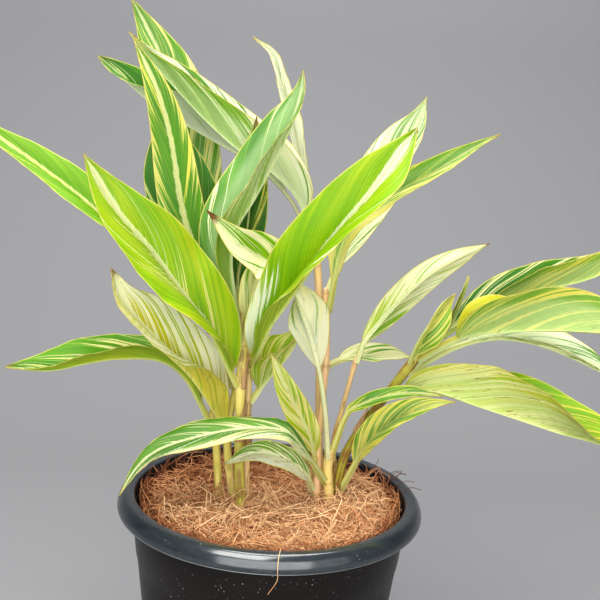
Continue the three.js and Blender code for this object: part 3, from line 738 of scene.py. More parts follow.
class Value:
    """A socket in a node tree. Arithmetic on it adds Math nodes, and node() adds any other node."""

    def __init__(self, tree, socket=None):
        self.tree = tree
        self.socket = socket

    def node(self, kind, settings=None, inputs=None, output=0):
        made = self.tree.nodes.new(kind)
        for key, value in (settings or {}).items():
            if key == "stops":
                set_stops(made.color_ramp, value)
            else:
                setattr(made, key, value)
        for key, value in (inputs or {}).items():
            if isinstance(value, Value):
                self.tree.links.new(value.socket, made.inputs[key])
            else:
                made.inputs[key].default_value = value
        return Value(self.tree, made.outputs[output] if made.outputs else None)

    def other(self, output):
        return Value(self.tree, self.socket.node.outputs[output])

    def math(self, operation, *values):
        return self.node("ShaderNodeMath", {"operation": operation}, dict(enumerate(values)))

    def __add__(self, value):
        return self.math("ADD", self, value)

    def __sub__(self, value):
        return self.math("SUBTRACT", self, value)

    def __rsub__(self, value):
        return self.math("SUBTRACT", value, self)

    def __mul__(self, value):
        return self.math("MULTIPLY", self, value)

    def __truediv__(self, value):
        return self.math("DIVIDE", self, value)

    def __rtruediv__(self, value):
        return self.math("DIVIDE", value, self)

    def __pow__(self, value):
        return self.math("POWER", self, value)

    __radd__ = __add__
    __rmul__ = __mul__

    def sine(self):
        return self.math("SINE", self)

    def rise(self, low, high):
        """0 below low, 1 above high, smooth between."""
        inputs = {"Value": self, "From Min": low, "From Max": high}
        return self.node("ShaderNodeMapRange", {"interpolation_type": "SMOOTHSTEP"}, inputs)

    def vector(self, *values):
        return self.node("ShaderNodeCombineXYZ", {}, dict(enumerate(values)))

    def split(self):
        parts = self.node("ShaderNodeSeparateXYZ", {}, {0: self})
        return parts, parts.other(1), parts.other(2)

    def noise(self, scale, detail=2, roughness=0.5):
        inputs = {"Vector": self, "Scale": scale, "Detail": detail, "Roughness": roughness}
        return self.node("ShaderNodeTexNoise", {"noise_dimensions": "3D"}, inputs)

    def tint(self, first, second):
        """The first colour at 0 and the second at 1."""
        return self.node("ShaderNodeMix", {"data_type": "RGBA"}, {0: self, 6: first, 7: second}, 2)

    def ramp(self, stops):
        return self.node("ShaderNodeValToRGB", {"stops": stops}, {0: self})

    def bump(self, strength, distance):
        inputs = {"Height": self, "Strength": strength, "Distance": distance}
        return self.node("ShaderNodeBump", {}, inputs)


def set_stops(ramp, stops):
    while len(ramp.elements) < len(stops):
        ramp.elements.new(1)
    for element, (place, colour) in zip(ramp.elements, stops):
        element.position = place
        element.color = colour


def new_material(name, preview):
    """A material with a plain preview colour, and the value that its graph starts from."""
    material = bpy.data.materials.new(name)
    material.diffuse_color = preview
    material.use_nodes = True
    material.node_tree.nodes.clear()
    return material, Value(material.node_tree)


def finish(look, inputs, through=None):
    """Ends a graph in a surface; through is a colour and the share of light that passes the sheet."""
    surface = look.node("ShaderNodeBsdfPrincipled", {}, inputs)
    if through:
        colour, share = through
        glow = look.node("ShaderNodeBsdfTranslucent", {}, {"Color": colour})
        surface = look.node("ShaderNodeMixShader", {}, {0: share, 1: surface, 2: glow})
    look.node("ShaderNodeOutputMaterial", {}, {"Surface": surface})


def attribute(look, name):
    return look.node("ShaderNodeAttribute", {"attribute_name": name}, {}, "Vector")


def position(look):
    return look.node("ShaderNodeTexCoord", {}, {}, "Object")


# Greens of a leaf from dark to yellow, and its creams from white to ochre
GREENS = [
    (0, rgb(24, 98, 14)),
    (0.3, rgb(64, 138, 18)),
    (0.55, rgb(108, 170, 12)),
    (0.72, rgb(144, 192, 4)),
    (0.85, rgb(182, 208, 14)),
    (1, rgb(218, 204, 28)),
]
CREAMS = [(0, rgb(255, 255, 236)), (0.6, rgb(240, 228, 78)), (1, rgb(182, 158, 24))]


def leaf_material():
    """Satin leaf with cream and yellow stripes along its side veins, and a painted sheen mixed into its
    colour.
    """
    material, look = new_material("shell_ginger_leaf", rgb(120, 170, 30))
    vein, seed, reach = attribute(look, "veins").split()
    cream, green, yellow = attribute(look, "paint").split()
    rib, margin, dryness = attribute(look, "edges").split()
    sheen_and_bloom, band, silver = attribute(look, "faces").split()

    stripes = look.vector(vein / 9, seed, reach * 0.5).noise(1, 2.5, 0.6)
    streaks = look.vector(vein / 2.2, seed + 7, reach * 0.6).noise(1, 1.5)
    threads = look.vector(vein / 4.5, seed + 20, reach * 0.25).noise(1, 1)
    patches = look.vector(vein / 45, seed + 3, reach).noise(1, 1)
    level = stripes + (streaks - 0.5) * 0.25
    limit = 0.5 + (0.5 - cream) * 0.44
    stripe = (level - limit).rise(-0.012, 0.012)
    thread = (threads + cream * 0.16).rise(0.715, 0.735) * 0.85
    beside = (level - limit).rise(-0.06, -0.045)

    tone = green * 0.85 + (streaks - 0.5) * 0.5 + (patches - 0.5) * 0.4
    blade = tone.ramp(GREENS)
    blade = (beside * 0.35).tint(blade, rgb(178, 208, 60))
    cream_colour = (yellow * 0.6 + (stripes - 0.5) * 0.7).ramp(CREAMS)
    colour = look.math("MAXIMUM", stripe, thread).tint(blade, cream_colour)
    pale = 1 - (band + (streaks - 0.5) * 3).rise(-0.4, 0.4)
    colour = (pale * 0.9).tint(colour, (yellow * 0.6).tint(rgb(252, 254, 224), rgb(240, 234, 104)))
    midrib = 1 - rib.rise(0.75, 1.2)
    colour = (midrib * 0.85).tint(colour, (yellow * 0.7).tint(rgb(248, 250, 212), rgb(236, 230, 100)))
    # Painted sheen: the upper face is lightened towards whitish green. The lower face's bloom is partly its
    # own dull bloom and partly painted sheen.
    colour = sheen_and_bloom.tint(colour, silver.tint(rgb(204, 214, 118), rgb(214, 238, 180)))

    fine = look.vector(vein / 1.2, seed + 11, reach * 0.4).noise(1, 2)
    colour = ((1 - fine.rise(0.3, 0.46)) * 0.34).tint(colour, rgb(104, 124, 28))
    border = (1 - margin.rise(0.5, 1)) * 0.8
    colour = border.tint(colour, rgb(236, 230, 120))
    spots = look.vector(vein / 3, seed, reach * 7).noise(1, 2)
    brown = (spots + dryness * 0.5).rise(0.76, 0.8)
    rim = (1 - margin.rise(0.1, 0.4)) * 0.4
    colour = rim.tint(colour, rgb(160, 112, 50))
    colour = brown.tint(colour, rgb(140, 92, 44))

    lines = (vein * (2 * math.pi / 2.6)).sine()
    grain = look.vector(vein, seed, reach * 30).noise(1.2, 2)
    height = lines * 0.35 + grain
    roughness = 0.44 + sheen_and_bloom * 0.35 + (grain - 0.5) * 0.15
    surface = {
        "Base Color": colour,
        "Roughness": roughness,
        "Normal": height.bump(0.35, 0.00035),
        "Specular IOR Level": 0.32,
    }
    finish(look, surface, (colour, 0.4))
    return material


def cane_material():
    """Smooth living stem with fine lines, sheath edges and brown marks."""
    material, look = new_material("shell_ginger_cane", rgb(220, 200, 130))
    height, angle, tint = attribute(look, "stem").split()
    marks, seed, edge = attribute(look, "sheath").split()
    lines = look.vector(height / 60, angle * 5, seed).noise(1, 2)
    clouds = look.vector(height / 14, angle, seed + 5).noise(1, 2)
    stops = [
        (0, rgb(206, 152, 112)),
        (0.25, rgb(226, 184, 134)),
        (0.45, rgb(230, 206, 120)),
        (0.65, rgb(190, 182, 72)),
        (0.8, rgb(152, 146, 44)),
        (1, rgb(112, 88, 28)),
    ]
    colour = (tint + (lines - 0.5) * 0.7 + (clouds - 0.5) * 0.4).ramp(stops)
    dark = (clouds + (lines - 0.5) * 0.6 + marks * 0.16).rise(0.62, 0.7) * (marks * 0.8 + 0.1)
    colour = dark.tint(colour, rgb(128, 76, 42))
    colour = (edge * 0.75).tint(colour, rgb(150, 100, 56))
    surface = {
        "Base Color": colour,
        "Roughness": 0.45 + (clouds - 0.5) * 0.2,
        "Normal": lines.bump(0.3, 0.0004),
    }
    finish(look, surface)
    return material


def plastic_material():
    """Moulded black plastic with a rim painted lighter, partly by wear and partly as painted sheen, a
    painted highlight along its lower lip, scratches and dust.
    """
    material, look = new_material("nursery_pot_plastic", rgb(24, 26, 30))
    place = position(look)
    x, y, z = place.split()
    around = look.math("ARCTAN2", y, x)
    outside = ((x * x + y * y) ** 0.5).rise(0.1105, 0.112)
    scuffs = look.vector(around * 3, z * 90, 0).noise(4, 4, 0.65)
    clouds = place.noise(22, 3)
    scratches = look.vector(around * 7, z * 900, 2).noise(1, 2, 0.7)
    scratch = scratches.rise(0.7, 0.8)
    dust = place.noise(700, 1).rise(0.74, 0.8) * clouds.rise(0.35, 0.6)
    rim = z.rise(0.1985, 0.2005) * outside
    # Painted highlight: a pale line along the lower lip of the rim, stronger on the left.
    painted_lip_glint = z.rise(0.199, 0.1996) * (1 - z.rise(0.2012, 0.2022)) * outside * (1 - x.rise(-0.02, 0.1) * 0.6)
    body = clouds.tint(rgb(12, 9, 9), rgb(30, 25, 24))
    # The rim is painted lighter and bluish: partly scuffed wear, partly a painted sheen.
    worn_and_sheen = scuffs.tint(rgb(12, 17, 21), rgb(40, 50, 56))
    colour = (rim * 0.9).tint(body, worn_and_sheen)
    colour = (scratch * 0.45).tint(colour, rgb(110, 116, 120))
    colour = (painted_lip_glint * (clouds * 0.8 + scratches * 0.8)).tint(colour, rgb(206, 212, 210))
    colour = (dust * 0.8).tint(colour, rgb(190, 190, 184))
    surface = {
        "Base Color": colour,
        "Roughness": 0.3 + scuffs * 0.2 + dust * 0.3,
        "Normal": (scuffs + place.noise(900, 1) * 0.3).bump(0.1, 0.0004),
        "Specular IOR Level": 0.14,
        "Coat Weight": rim * (0.45 + scuffs * 0.5),
        "Coat Roughness": 0.16,
        "Coat IOR": 1.9,
    }
    finish(look, surface)
    return material


def coir_bed_material():
    """The coir layer between its fibres, in its own brown painted darker so that the gaps between the
    fibres read as shade.
    """
    material, look = new_material("coir_bed", rgb(110, 62, 32))
    place = position(look)
    tufts = place.noise(120, 4, 0.7)
    surface = {
        # Painted shade: the bed is darker than the fibres so that the gaps read as shadow.
        "Base Color": tufts.tint(rgb(46, 24, 12), rgb(120, 70, 38)),
        "Roughness": 0.95,
        "Normal": tufts.bump(0.8, 0.003),
        "Specular IOR Level": 0.15,
    }
    finish(look, surface)
    return material


def coir_fibre_material():
    """Wiry coconut fibres, each of its own brown, with painted shade towards the back, the left and the
    wall, and painted light on those that lie higher.
    """
    material, look = new_material("coir_fibre", rgb(200, 140, 90))
    fibre = look.node("ShaderNodeAttribute", {"attribute_name": "fibre"}, {}, "Fac")
    stops = [
        (0, rgb(84, 42, 22)),
        (0.25, rgb(150, 86, 48)),
        (0.65, rgb(206, 144, 94)),
        (1, rgb(244, 200, 150)),
    ]
    place = position(look)
    speckle = place.noise(400, 1)
    x, y, z = place.split()
    # Painted shade: darker towards the back and the left, and near the wall.
    painted_shade = (y - x * 0.4).rise(-0.03, 0.09) * 0.4 + ((x * x + y * y) ** 0.5).rise(0.093, 0.105) * 0.5
    # Painted light: fibres that lie higher are lighter, those down in the bed darker.
    high = z.rise(0.189, 0.203)
    colour = (fibre * 0.75 + high * 0.4 + (speckle - 0.5) * 0.3 - painted_shade - 0.06).ramp(stops)
    surface = {"Base Color": colour, "Roughness": 0.7 + speckle * 0.2, "Specular IOR Level": 0.3}
    finish(look, surface)
    return material


def mix_material():
    """Moist, crumbly potting mix."""
    material, look = new_material("potting_mix", rgb(58, 42, 30))
    crumbs = position(look).noise(260, 5, 0.7)
    surface = {
        "Base Color": crumbs.tint(rgb(34, 24, 17), rgb(92, 68, 48)),
        "Roughness": 0.95,
        "Normal": crumbs.bump(0.9, 0.002),
    }
    finish(look, surface)
    return material


def rhizome_material():
    """Ringed, matt skin of the underground stems."""
    material, look = new_material("rhizome_skin", rgb(200, 160, 120))
    place = position(look)
    x, _, _ = place.split()
    rings = (x * 900 + place.noise(60, 2) * 6).sine()
    patches = place.noise(90, 3)
    surface = {
        "Base Color": (patches + rings * 0.15).tint(rgb(214, 176, 136), rgb(150, 98, 62)),
        "Roughness": 0.75 + patches * 0.15,
        "Normal": rings.bump(0.4, 0.0008),
    }
    finish(look, surface)
    return material


def papery_material():
    """Dry brown remains of old leaf sheaths."""
    material, look = new_material("dry_sheath", rgb(150, 104, 60))
    place = position(look)
    x, y, z = place.split()
    lines = look.vector(x * 900, y * 900, z * 60).noise(1, 3)
    surface = {
        "Base Color": lines.tint(rgb(116, 72, 38), rgb(216, 176, 120)),
        "Roughness": 0.8 + lines * 0.1,
        "Normal": lines.bump(0.6, 0.0006),
    }
    finish(look, surface)
    return material


# Leaves


def blade_outline(leaf, u):
    """How far the blade has opened at u: 0 at its stalk and tip, 1 where it is widest."""
    widest = leaf.get("widest_at", BLADE["widest_at"])
    v = np.clip((u - leaf["stalk"]) / (1 - leaf["stalk"]), 0, 1)
    opening = (v / widest) ** (BLADE["fullness"] * widest)
    closing = ((1 - v) / (1 - widest)) ** (BLADE["fullness"] * (1 - widest))
    return opening * closing


def rib_curve(leaf):
    """The midrib, from inside its cane to the tip."""
    rib = np.array(leaf["rib"], float)
    foot = on_cane(leaf["cane"], leaf["height"])
    away = (rib[0] - foot) * [1, 1, 0]
    foot = foot + unit(away) * BLADE["foot"] * CANES[leaf["cane"]]["radius"]
    return Curve([foot, *rib])


def half_blade(leaf, curve):
    """Half a leaf laid out flat, in rows from foot to tip and columns from midrib to margin."""
    rows = int(curve.length / BLADE["row"]) + BLADE["extra_rows"]
    u = np.linspace(0, 1, rows)[:, None]
    opened = blade_outline(leaf, u)
    drawn = 1 - 0.3 * rise(0.8, 1, u)
    narrowest = blend(BLADE["stalk"], BLADE["tip"] / 2, u)
    width = np.maximum(opened * leaf["width"] / 2 * drawn, narrowest)
    rib = np.minimum(blend(*BLADE["rib"], u), width / 1.6)
    # The columns stand closer together beside the midrib.
    near = rib * [0, 0.3, 0.65, 1, 1.4]
    far = near[:, -1:] + (width - near[:, -1:]) * np.linspace(0, 1, 13)[1:] ** 0.9
    distance = np.hstack([near, far])
    reach = distance / width
    length = u * curve.length
    run = VEIN["run"] + VEIN["slant"] * leaf["width"] / 2
    return SimpleNamespace(
        u=u,
        opened=opened,
        rib=rib,
        distance=distance,
        reach=reach,
        margin=width - distance,
        length=length,
        vein=length - run * reach**1.15,
    )


def both_halves(left, right):
    """Values from the left margin over the midrib to the right margin."""
    return np.hstack([left[:, :0:-1], right])


def leaf_points(leaf, curve, half, random):
    """Rings round a leaf: over its upper face from left to right, and back under its lower face."""
    u, reach, distance = half.u, half.reach, half.distance
    at, _, side, face = curve.frame(u[:, 0])
    turn = np.radians(along(leaf["turn"], u))
    across = side * np.cos(turn) - face * np.sin(turn)
    upwards = face * np.cos(turn) + side * np.sin(turn)
    fold = np.radians(along(leaf["fold"], u))
    loose = np.clip((np.pi / 2 - fold) / np.radians(BLADE["tight"]), 0, 1)
    bend = np.radians(BLADE["arch"] * half.opened) * loose
    slope = fold + bend * (1 - 2 * reach)
    chord = fold + bend * (1 - reach)
    out = distance * np.sinc(bend * reach / np.pi) * np.cos(chord)
    lift = distance * np.sinc(bend * reach / np.pi) * np.sin(chord)

    ribs_away = distance / half.rib
    skin = BLADE["thickness"] * (1 - 0.5 * reach**4)
    groove = 0.4 * half.rib * np.cos(np.clip(ribs_away, 0, 1) * np.pi / 2) ** 2
    ridge = along(BLADE["keel"], u) * np.exp(-1.2 * ribs_away**2)
    pleat_size = 0.3 * rise(1, 4, ribs_away) * (1 - 0.5 * reach)
    upper, lower = {}, {}
    for sign in (-1, 1):
        phases = random.uniform(0, 2 * np.pi, 4)
        wave = leaf["wave"] * half.opened * np.sin(2 * np.pi * BLADE["waves"] * u + sign)
        ripple = two_waves(half.length, BLADE["ripples"], phases[:2])
        pleats = two_waves(half.vein, BLADE["pleats"], phases[2:])
        rough = wave * reach**1.74 + 0.35 * ripple * half.opened * reach**3 + pleat_size * pleats
        for layer, offset in ((upper, rough - groove), (lower, rough - skin - ridge)):
            x = (out - np.sin(slope) * offset) * sign
            z = lift + np.cos(slope) * offset
            layer[sign] = at[:, None] + across[:, None] * x[..., None] + upwards[:, None] * z[..., None]
    return np.hstack([both_halves(upper[-1], upper[1]), both_halves(lower[-1], lower[1])[:, ::-1]])


def leaf_ring(left, right=None, below=None):
    """Values in the order of a ring; the lower face repeats the upper one unless below is given."""
    above = both_halves(left, left if right is None else right)
    return np.hstack([above, above[:, ::-1] if below is None else np.full_like(above, below)])


def paint_leaf(piece, look, half, number):
    """Stores what the leaf material reads: the veins, the paint, the edges and the faces."""
    green, yellow, painted_sheen = look["top"]
    green_below, cream_below, yellow_below, sheen_and_bloom, silver = look["under"]
    tip, flecks = look.get("dry", [0.45, 0])
    more_left, more_right, more_below = look.get("foot", [0, 0, 0])
    near_stalk = 1 - rise(0.25, 0.6, half.u)
    off_midrib = rise(0.2, 0.7, half.reach)

    def cream(shares, more):
        """The share of cream over one half, with more of it off the midrib near the stalk."""
        return np.interp(half.reach, [0.1, 0.5, 1], shares) + more * near_stalk * off_midrib

    left = cream(look["left"], more_left)
    right = cream(look.get("right", look["left"]), more_right)
    flat = np.ones_like(half.reach)
    # The painted sheen, and the bloom below, fade towards the margin.
    sheen = 1 - 0.8 * rise(0.55, 0.8, half.reach)
    seed = number * 3.7
    dryness = (tip * rise(0.93, 1, half.u) + flecks) * flat
    band = half.distance - along(look["band"], half.u) * rise(0, 0.1, 1 - half.u)
    values = {
        "veins": [leaf_ring(half.vein), leaf_ring(flat * seed, flat * (seed + 1.6)), leaf_ring(half.reach)],
        "paint": [
            leaf_ring(left, right, cream_below + more_below * near_stalk),
            leaf_ring(flat * green, below=green_below),
            leaf_ring(flat * yellow, below=yellow_below),
        ],
        "edges": [leaf_ring(half.distance / half.rib), leaf_ring(half.margin), leaf_ring(dryness)],
        "faces": [
            leaf_ring(painted_sheen * sheen, below=sheen_and_bloom * both_halves(sheen, sheen)),
            leaf_ring(band, below=5),
            leaf_ring(flat, below=silver),
        ],
    }
    for name, columns in values.items():
        set_attribute(piece, name, np.stack(columns, axis=-1))


def leaf_piece(name, number, material):
    """One leaf: grooved midrib, keel, slanting pleats and a waved margin, with the values that paint it."""
    leaf = LEAVES[name]
    curve = rib_curve(leaf)
    half = half_blade(leaf, curve)
    points = leaf_points(leaf, curve, half, np.random.default_rng(number))
    rows, around, _ = points.shape
    piece = new_piece(name, points.reshape(-1, 3), tube_faces(rows, around), material, [name])
    piece.data.set_sharp_from_angle(angle=math.radians(50))
    paint_leaf(piece, LOOKS[name], half, number)


# Canes


def cane_piece(name, number, material):
    """One cane, swollen where each leaf leaves it and stepped where a sheath ends."""
    curve, look = cane_curve(name), CANE_LOOKS[name]
    rows, sides = int(curve.length / CANE["row"]), CANE["sides"]
    u = np.linspace(0, 1, rows)
    height = curve.read(curve.points, u)[:, 2]
    radius = CANES[name]["radius"] * blend(1, CANE["taper"], u)
    edge = np.zeros(rows)
    joints = sorted(leaf["height"] for leaf in LEAVES.values() if leaf["cane"] == name)
    for joint in joints:
        below = (joint - height) / CANE["joint"]
        step = CANE["sheath"] * rise(0, 0.3, -below) / len(joints)
        radius += CANE["swelling"] * np.exp(-(below**2)) - step
        edge = np.maximum(edge, 0.6 * np.exp(-((below * 8) ** 2)))
    radius *= 1 - 0.35 * rise(0.97, 1, u)
    random = np.random.default_rng(100 + number)
    turn = full_turn(sides)
    lobes = np.ones(sides)
    for count, depth in ((2, 0.035), (3, 0.02)):
        lobes += depth * np.sin(count * turn + random.uniform(0, 6))
    points, angle = stem_points(curve, u, radius[:, None] * lobes, sides)
    piece = new_piece(name, points.reshape(-1, 3), tube_faces(rows, sides), material, [name])
    whole = np.ones((rows, sides))
    tint = along(look["tint"], u)
    stem = [height[:, None] * whole, np.sin(angle) * 2 + whole, tint[:, None] * whole]
    sheath = [look["marks"] * whole, number * 2.3 * whole, edge[:, None] * whole]
    set_attribute(piece, "stem", np.stack(stem, axis=-1))
    set_attribute(piece, "sheath", np.stack(sheath, axis=-1))


def scrap_piece(name, number, material):
    """A dry piece of an old sheath that clings round a cane and narrows to a ragged tip."""
    cane, low, high, facing, wrap, lift = SCRAPS[name]
    rows, columns, thickness, gap = 24, 10, 0.3, 0.5
    curve = cane_curve(cane)
    climb = np.linspace(0, 1, rows)
    u = np.interp(blend(low, high, climb), curve.points[:, 2], curve.share)
    at, _, side, face = curve.frame(u)
    random = np.random.default_rng(200 + number)
    ragged = np.cumsum(random.uniform(-0.08, 0.08, rows)) * climb
    spread = math.radians(wrap) / 2 * (1 - 0.9 * climb**1.5)
    bearing = (math.radians(facing) + ragged)[:, None] + spread[:, None] * np.linspace(1, -1, columns)
    curl = 0.5 * np.linspace(-1, 1, columns) ** 2 + random.uniform(0, 0.25, (rows, columns))
    radius = CANES[cane]["radius"] * 0.98 + gap + lift * climb[:, None] ** 2 + curl
    bearing = np.hstack([bearing, bearing[:, ::-1]])
    radius = np.hstack([radius, radius[:, ::-1] - thickness])[..., None]
    outwards = side[:, None] * np.cos(bearing)[..., None] + face[:, None] * np.sin(bearing)[..., None]
    points = at[:, None] + outwards * radius
    new_piece(name, points.reshape(-1, 3), tube_faces(rows, 2 * columns), material)


# Pot


def outside_radius(z):
    return blend(POT["base_radius"], POT["neck_radius"], z / RIM_FOOT)


def inside_radius(z):
    return min(outside_radius(z) - POT["wall"], POT["mouth_radius"])


def pot_piece(material):
    """The pot with its rolled rim, a stacking step in the wall and drain holes in the floor."""
    corner, wall, base = POT["corner"], POT["wall"], POT["base_radius"]
    rim = Curve([[POT["rim_radius"] - inside, height] for inside, height in RIM])
    turns = np.linspace(0, np.pi / 2, 5)
    foot = [[base - corner + corner * math.sin(t), corner - corner * math.cos(t)] for t in turns]
    step = [[outside_radius(z) - inside, z] for z, inside in STEP]
    out, down = POT["step_under_rim"]
    floor_edge = 2 * corner
    outline = [
        [0, 0],
        *foot,
        *step,
        [POT["neck_radius"], RIM_FOOT - down],
        [POT["neck_radius"] + out, RIM_FOOT],
        *rim.points[::9].tolist(),
        [POT["mouth_radius"], RIM_FOOT],
        [inside_radius(floor_edge), floor_edge],
        [inside_radius(floor_edge) - corner, wall],
        [0, wall],
    ]
    pot = lathe("pot", outline, POT["sides"], material)
    pot.data.set_sharp_from_angle(angle=math.radians(40))
    for i in range(DRAIN["count"]):
        angle = 2 * math.pi * (i + 0.5) / DRAIN["count"]
        drill_floor(pot, DRAIN["ring"] * math.cos(angle), DRAIN["ring"] * math.sin(angle))
    fit(pot, ["pot"])


def drill_floor(pot, x, y):
    """Cuts one drain hole through the floor of the pot."""
    radius, sides = DRAIN["radius"], DRAIN["sides"]
    turn = full_turn(sides)
    circle = [x + radius * np.cos(turn), y + radius * np.sin(turn)]
    rings = [np.stack([*circle, np.full(sides, float(z))], axis=-1) for z in DRAIN["span"]]
    drill = new_object("drill", np.concatenate(rings), tube_faces(2, sides))
    cut = pot.modifiers.new("drain", "BOOLEAN")
    cut.operation = "DIFFERENCE"
    cut.object = drill
    settle(pot)
    bpy.data.objects.remove(drill)


# Coir


def coir_height(x, y):
    reach = np.hypot(x, y) / POT["mouth_radius"]
    large, small = (2 * np.pi / length for length in COIR["tufts"])
    rough = np.sin(large * x + np.sin(large * y)) * np.cos(large * y) + np.sin(small * (x - y))
    return COIR["level"] + COIR["bank"] * reach**2 + COIR["roughness"] * rough


def coir_bed_piece(material):
    """The dense layer that the loose fibres lie on."""
    rings, sides, centre = 44, 150, 0.012
    reach = np.append(np.linspace(centre, 1, rings), 1)
    radius = (inside_radius(COIR["level"]) - COIR["gap"]) * reach
    angle = full_turn(sides)
    x, y = radius[:, None] * np.cos(angle), radius[:, None] * np.sin(angle)
    z = coir_height(x, y) + np.random.default_rng(5).uniform(*COIR["grain"], x.shape)
    z[-1] = COIR["level"] - COIR["depth"]
    points = np.stack([x, y, z], axis=-1).reshape(-1, 3)
    faces = [face[::-1] for face in tube_faces(rings + 1, sides)]
    new_piece("coir_mulch", points, faces, material, ["coir_mulch"])


def coir_fibre_tree(material):
    """Node tree that lays curled fibres over a surface: named sizes, one seed, plain mesh at the end."""
    tree = bpy.data.node_groups.new("loose_coir_fibres", "GeometryNodeTree")
    interface = tree.interface
    interface.new_socket("Geometry", in_out="INPUT", socket_type="NodeSocketGeometry")
    for name in ("Fibres per Square Metre", "Fibre Length", "Fibre Radius", "Curl", "Reach", "Lightness"):
        interface.new_socket(name, in_out="INPUT", socket_type="NodeSocketFloat")
    interface.new_socket("Seed", in_out="INPUT", socket_type="NodeSocketInt")
    interface.new_socket("Geometry", in_out="OUTPUT", socket_type="NodeSocketGeometry")
    start = Value(tree)
    given = start.node("NodeGroupInput")
    seed = given.other("Seed")
    density = given.other("Fibres per Square Metre")
    scatter = {"Mesh": given, "Density": density, "Seed": seed}
    points = start.node("GeometryNodeDistributePointsOnFaces", {}, scatter)
    line = start.node("GeometryNodeCurvePrimitiveLine", {}, {"Start": (-0.5, 0, 0), "End": (0.5, 0, 0)})
    line = start.node("GeometryNodeResampleCurve", {}, {"Curve": line, "Count": 9})
    lean = {"Min": (-0.1, -0.3, 0), "Max": (0.1, 0.3, 2 * math.pi), "Seed": seed}
    turn = start.node("FunctionNodeRandomValue", {"data_type": "FLOAT_VECTOR"}, lean)
    # The sockets of a random number between two numbers come after those of the vector.
    sizes = {2: 0.4, 3: 1.3, "Seed": seed}
    size = start.node("FunctionNodeRandomValue", {"data_type": "FLOAT"}, sizes, 1)
    length = size * given.other("Fibre Length")
    size = start.vector(length, length, length)
    placing = {"Points": points, "Instance": line, "Rotation": turn, "Scale": size}
    laid = start.node("GeometryNodeInstanceOnPoints", {}, placing)
    shades = {2: given.other("Lightness"), 3: 1.0, "Seed": seed}
    number = start.node("FunctionNodeRandomValue", {"data_type": "FLOAT"}, shades, 1)
    kept = {"Geometry": laid, "Name": "fibre", "Value": number}
    laid = start.node("GeometryNodeStoreNamedAttribute", {"data_type": "FLOAT", "domain": "INSTANCE"}, kept)
    curves = start.node("GeometryNodeRealizeInstances", {}, {0: laid})
    own = start.node("GeometryNodeInputNamedAttribute", {"data_type": "FLOAT"}, {"Name": "fibre"})
    place = start.node("GeometryNodeInputPosition")
    shift = None
    for scale, share in ((26.0, 1.0), (75.0, 0.4), (190.0, 0.12)):
        waves = {"Vector": place, "W": own * 40, "Scale": scale, "Detail": 0.0}
        noise = start.node("ShaderNodeTexNoise", {"noise_dimensions": "4D"}, waves, "Color")
        middle = {0: noise, 1: (0.5, 0.5, 0.46)}
        centred = start.node("ShaderNodeVectorMath", {"operation": "SUBTRACT"}, middle)
        bent = {0: centred, "Scale": given.other("Curl") * share}
        part = start.node("ShaderNodeVectorMath", {"operation": "SCALE"}, bent)
        if shift:
            part = start.node("ShaderNodeVectorMath", {"operation": "ADD"}, {0: shift, 1: part})
        shift = part
    curves = start.node("GeometryNodeSetPosition", {}, {"Geometry": curves, "Offset": shift})
    # Fibres that curl past the wall are turned back inside it.
    x, y, z = place.split()
    far = (x * x + y * y) ** 0.5
    keep = start.math("MINIMUM", given.other("Reach") / far, 1)
    inside = start.vector(x * keep, y * keep, z)
    curves = start.node("GeometryNodeSetPosition", {}, {"Geometry": curves, "Position": inside})
    section = {"Resolution": 3, "Radius": given.other("Fibre Radius")}
    profile = start.node("GeometryNodeCurvePrimitiveCircle", {}, section)
    thick = {"Curve": curves, "Profile Curve": profile, "Fill Caps": True}
    mesh = start.node("GeometryNodeCurveToMesh", {}, thick)
    mesh = start.node("GeometryNodeRealizeInstances", {}, {0: mesh})
    mesh = start.node("GeometryNodeSetMaterial", {}, {"Geometry": mesh, "Material": material})
    start.node("NodeGroupOutput", {}, {"Geometry": mesh})
    return tree


def coir_fibre_pieces(material):
    """Loose fibres over the whole bed, in layers that each stay small enough."""
    tree = coir_fibre_tree(material)
    rings, sides = 20, 64
    angle = full_turn(sides)
    bed = []
    for radius in np.linspace(*COIR["loose"], rings):
        x, y = radius * np.cos(angle), radius * np.sin(angle)
        bed.append(np.stack([x, y, coir_height(x, y) + COIR["lift"]], axis=-1))
    points = np.concatenate(bed)
    # The fibres lie on the bed and on the strips that span it at the height of its edge.
    faces = tube_faces(rings, sides)
    for number, (density, length, radius, curl, lightness) in enumerate(COIR_LAYERS):
        piece = new_skin(f"coir_fibres_{number + 1}", points, faces, material)
        modifier = piece.modifiers.new("fibres", "NODES")
        modifier.node_group = tree
        values = {
            "Fibres per Square Metre": float(density),
            "Fibre Length": length,
            "Fibre Radius": radius,
            "Curl": curl,
            "Reach": COIR["reach"] * MM,
            "Lightness": float(lightness),
            "Seed": 11 + number,
        }
        for item in tree.interface.items_tree:
            if item.item_type == "SOCKET" and item.in_out == "INPUT" and item.name in values:
                modifier[item.identifier] = values[item.name]
        settle(piece)
        fit(piece)


def fibre_mesh(name, paths, radius, shades, material):
    """Single fibres along given or scattered paths, joined in one mesh."""
    rows, sides = 40, 6
    u = np.linspace(0, 1, rows)
    points, faces = [], []
    for path in paths:
        first = len(points) * rows * sides
        rings, _ = stem_points(Curve(path), u, np.full(rows, radius), sides)
        points.append(rings.reshape(-1, 3))
        faces += [tuple(first + corner for corner in face) for face in tube_faces(rows, sides)]
    piece = new_piece(name, np.concatenate(points), faces, material)
    shade = piece.data.attributes.new("fibre", "FLOAT", "POINT")
    shade.data.foreach_set("value", np.repeat(shades, rows * sides).astype(np.float32))


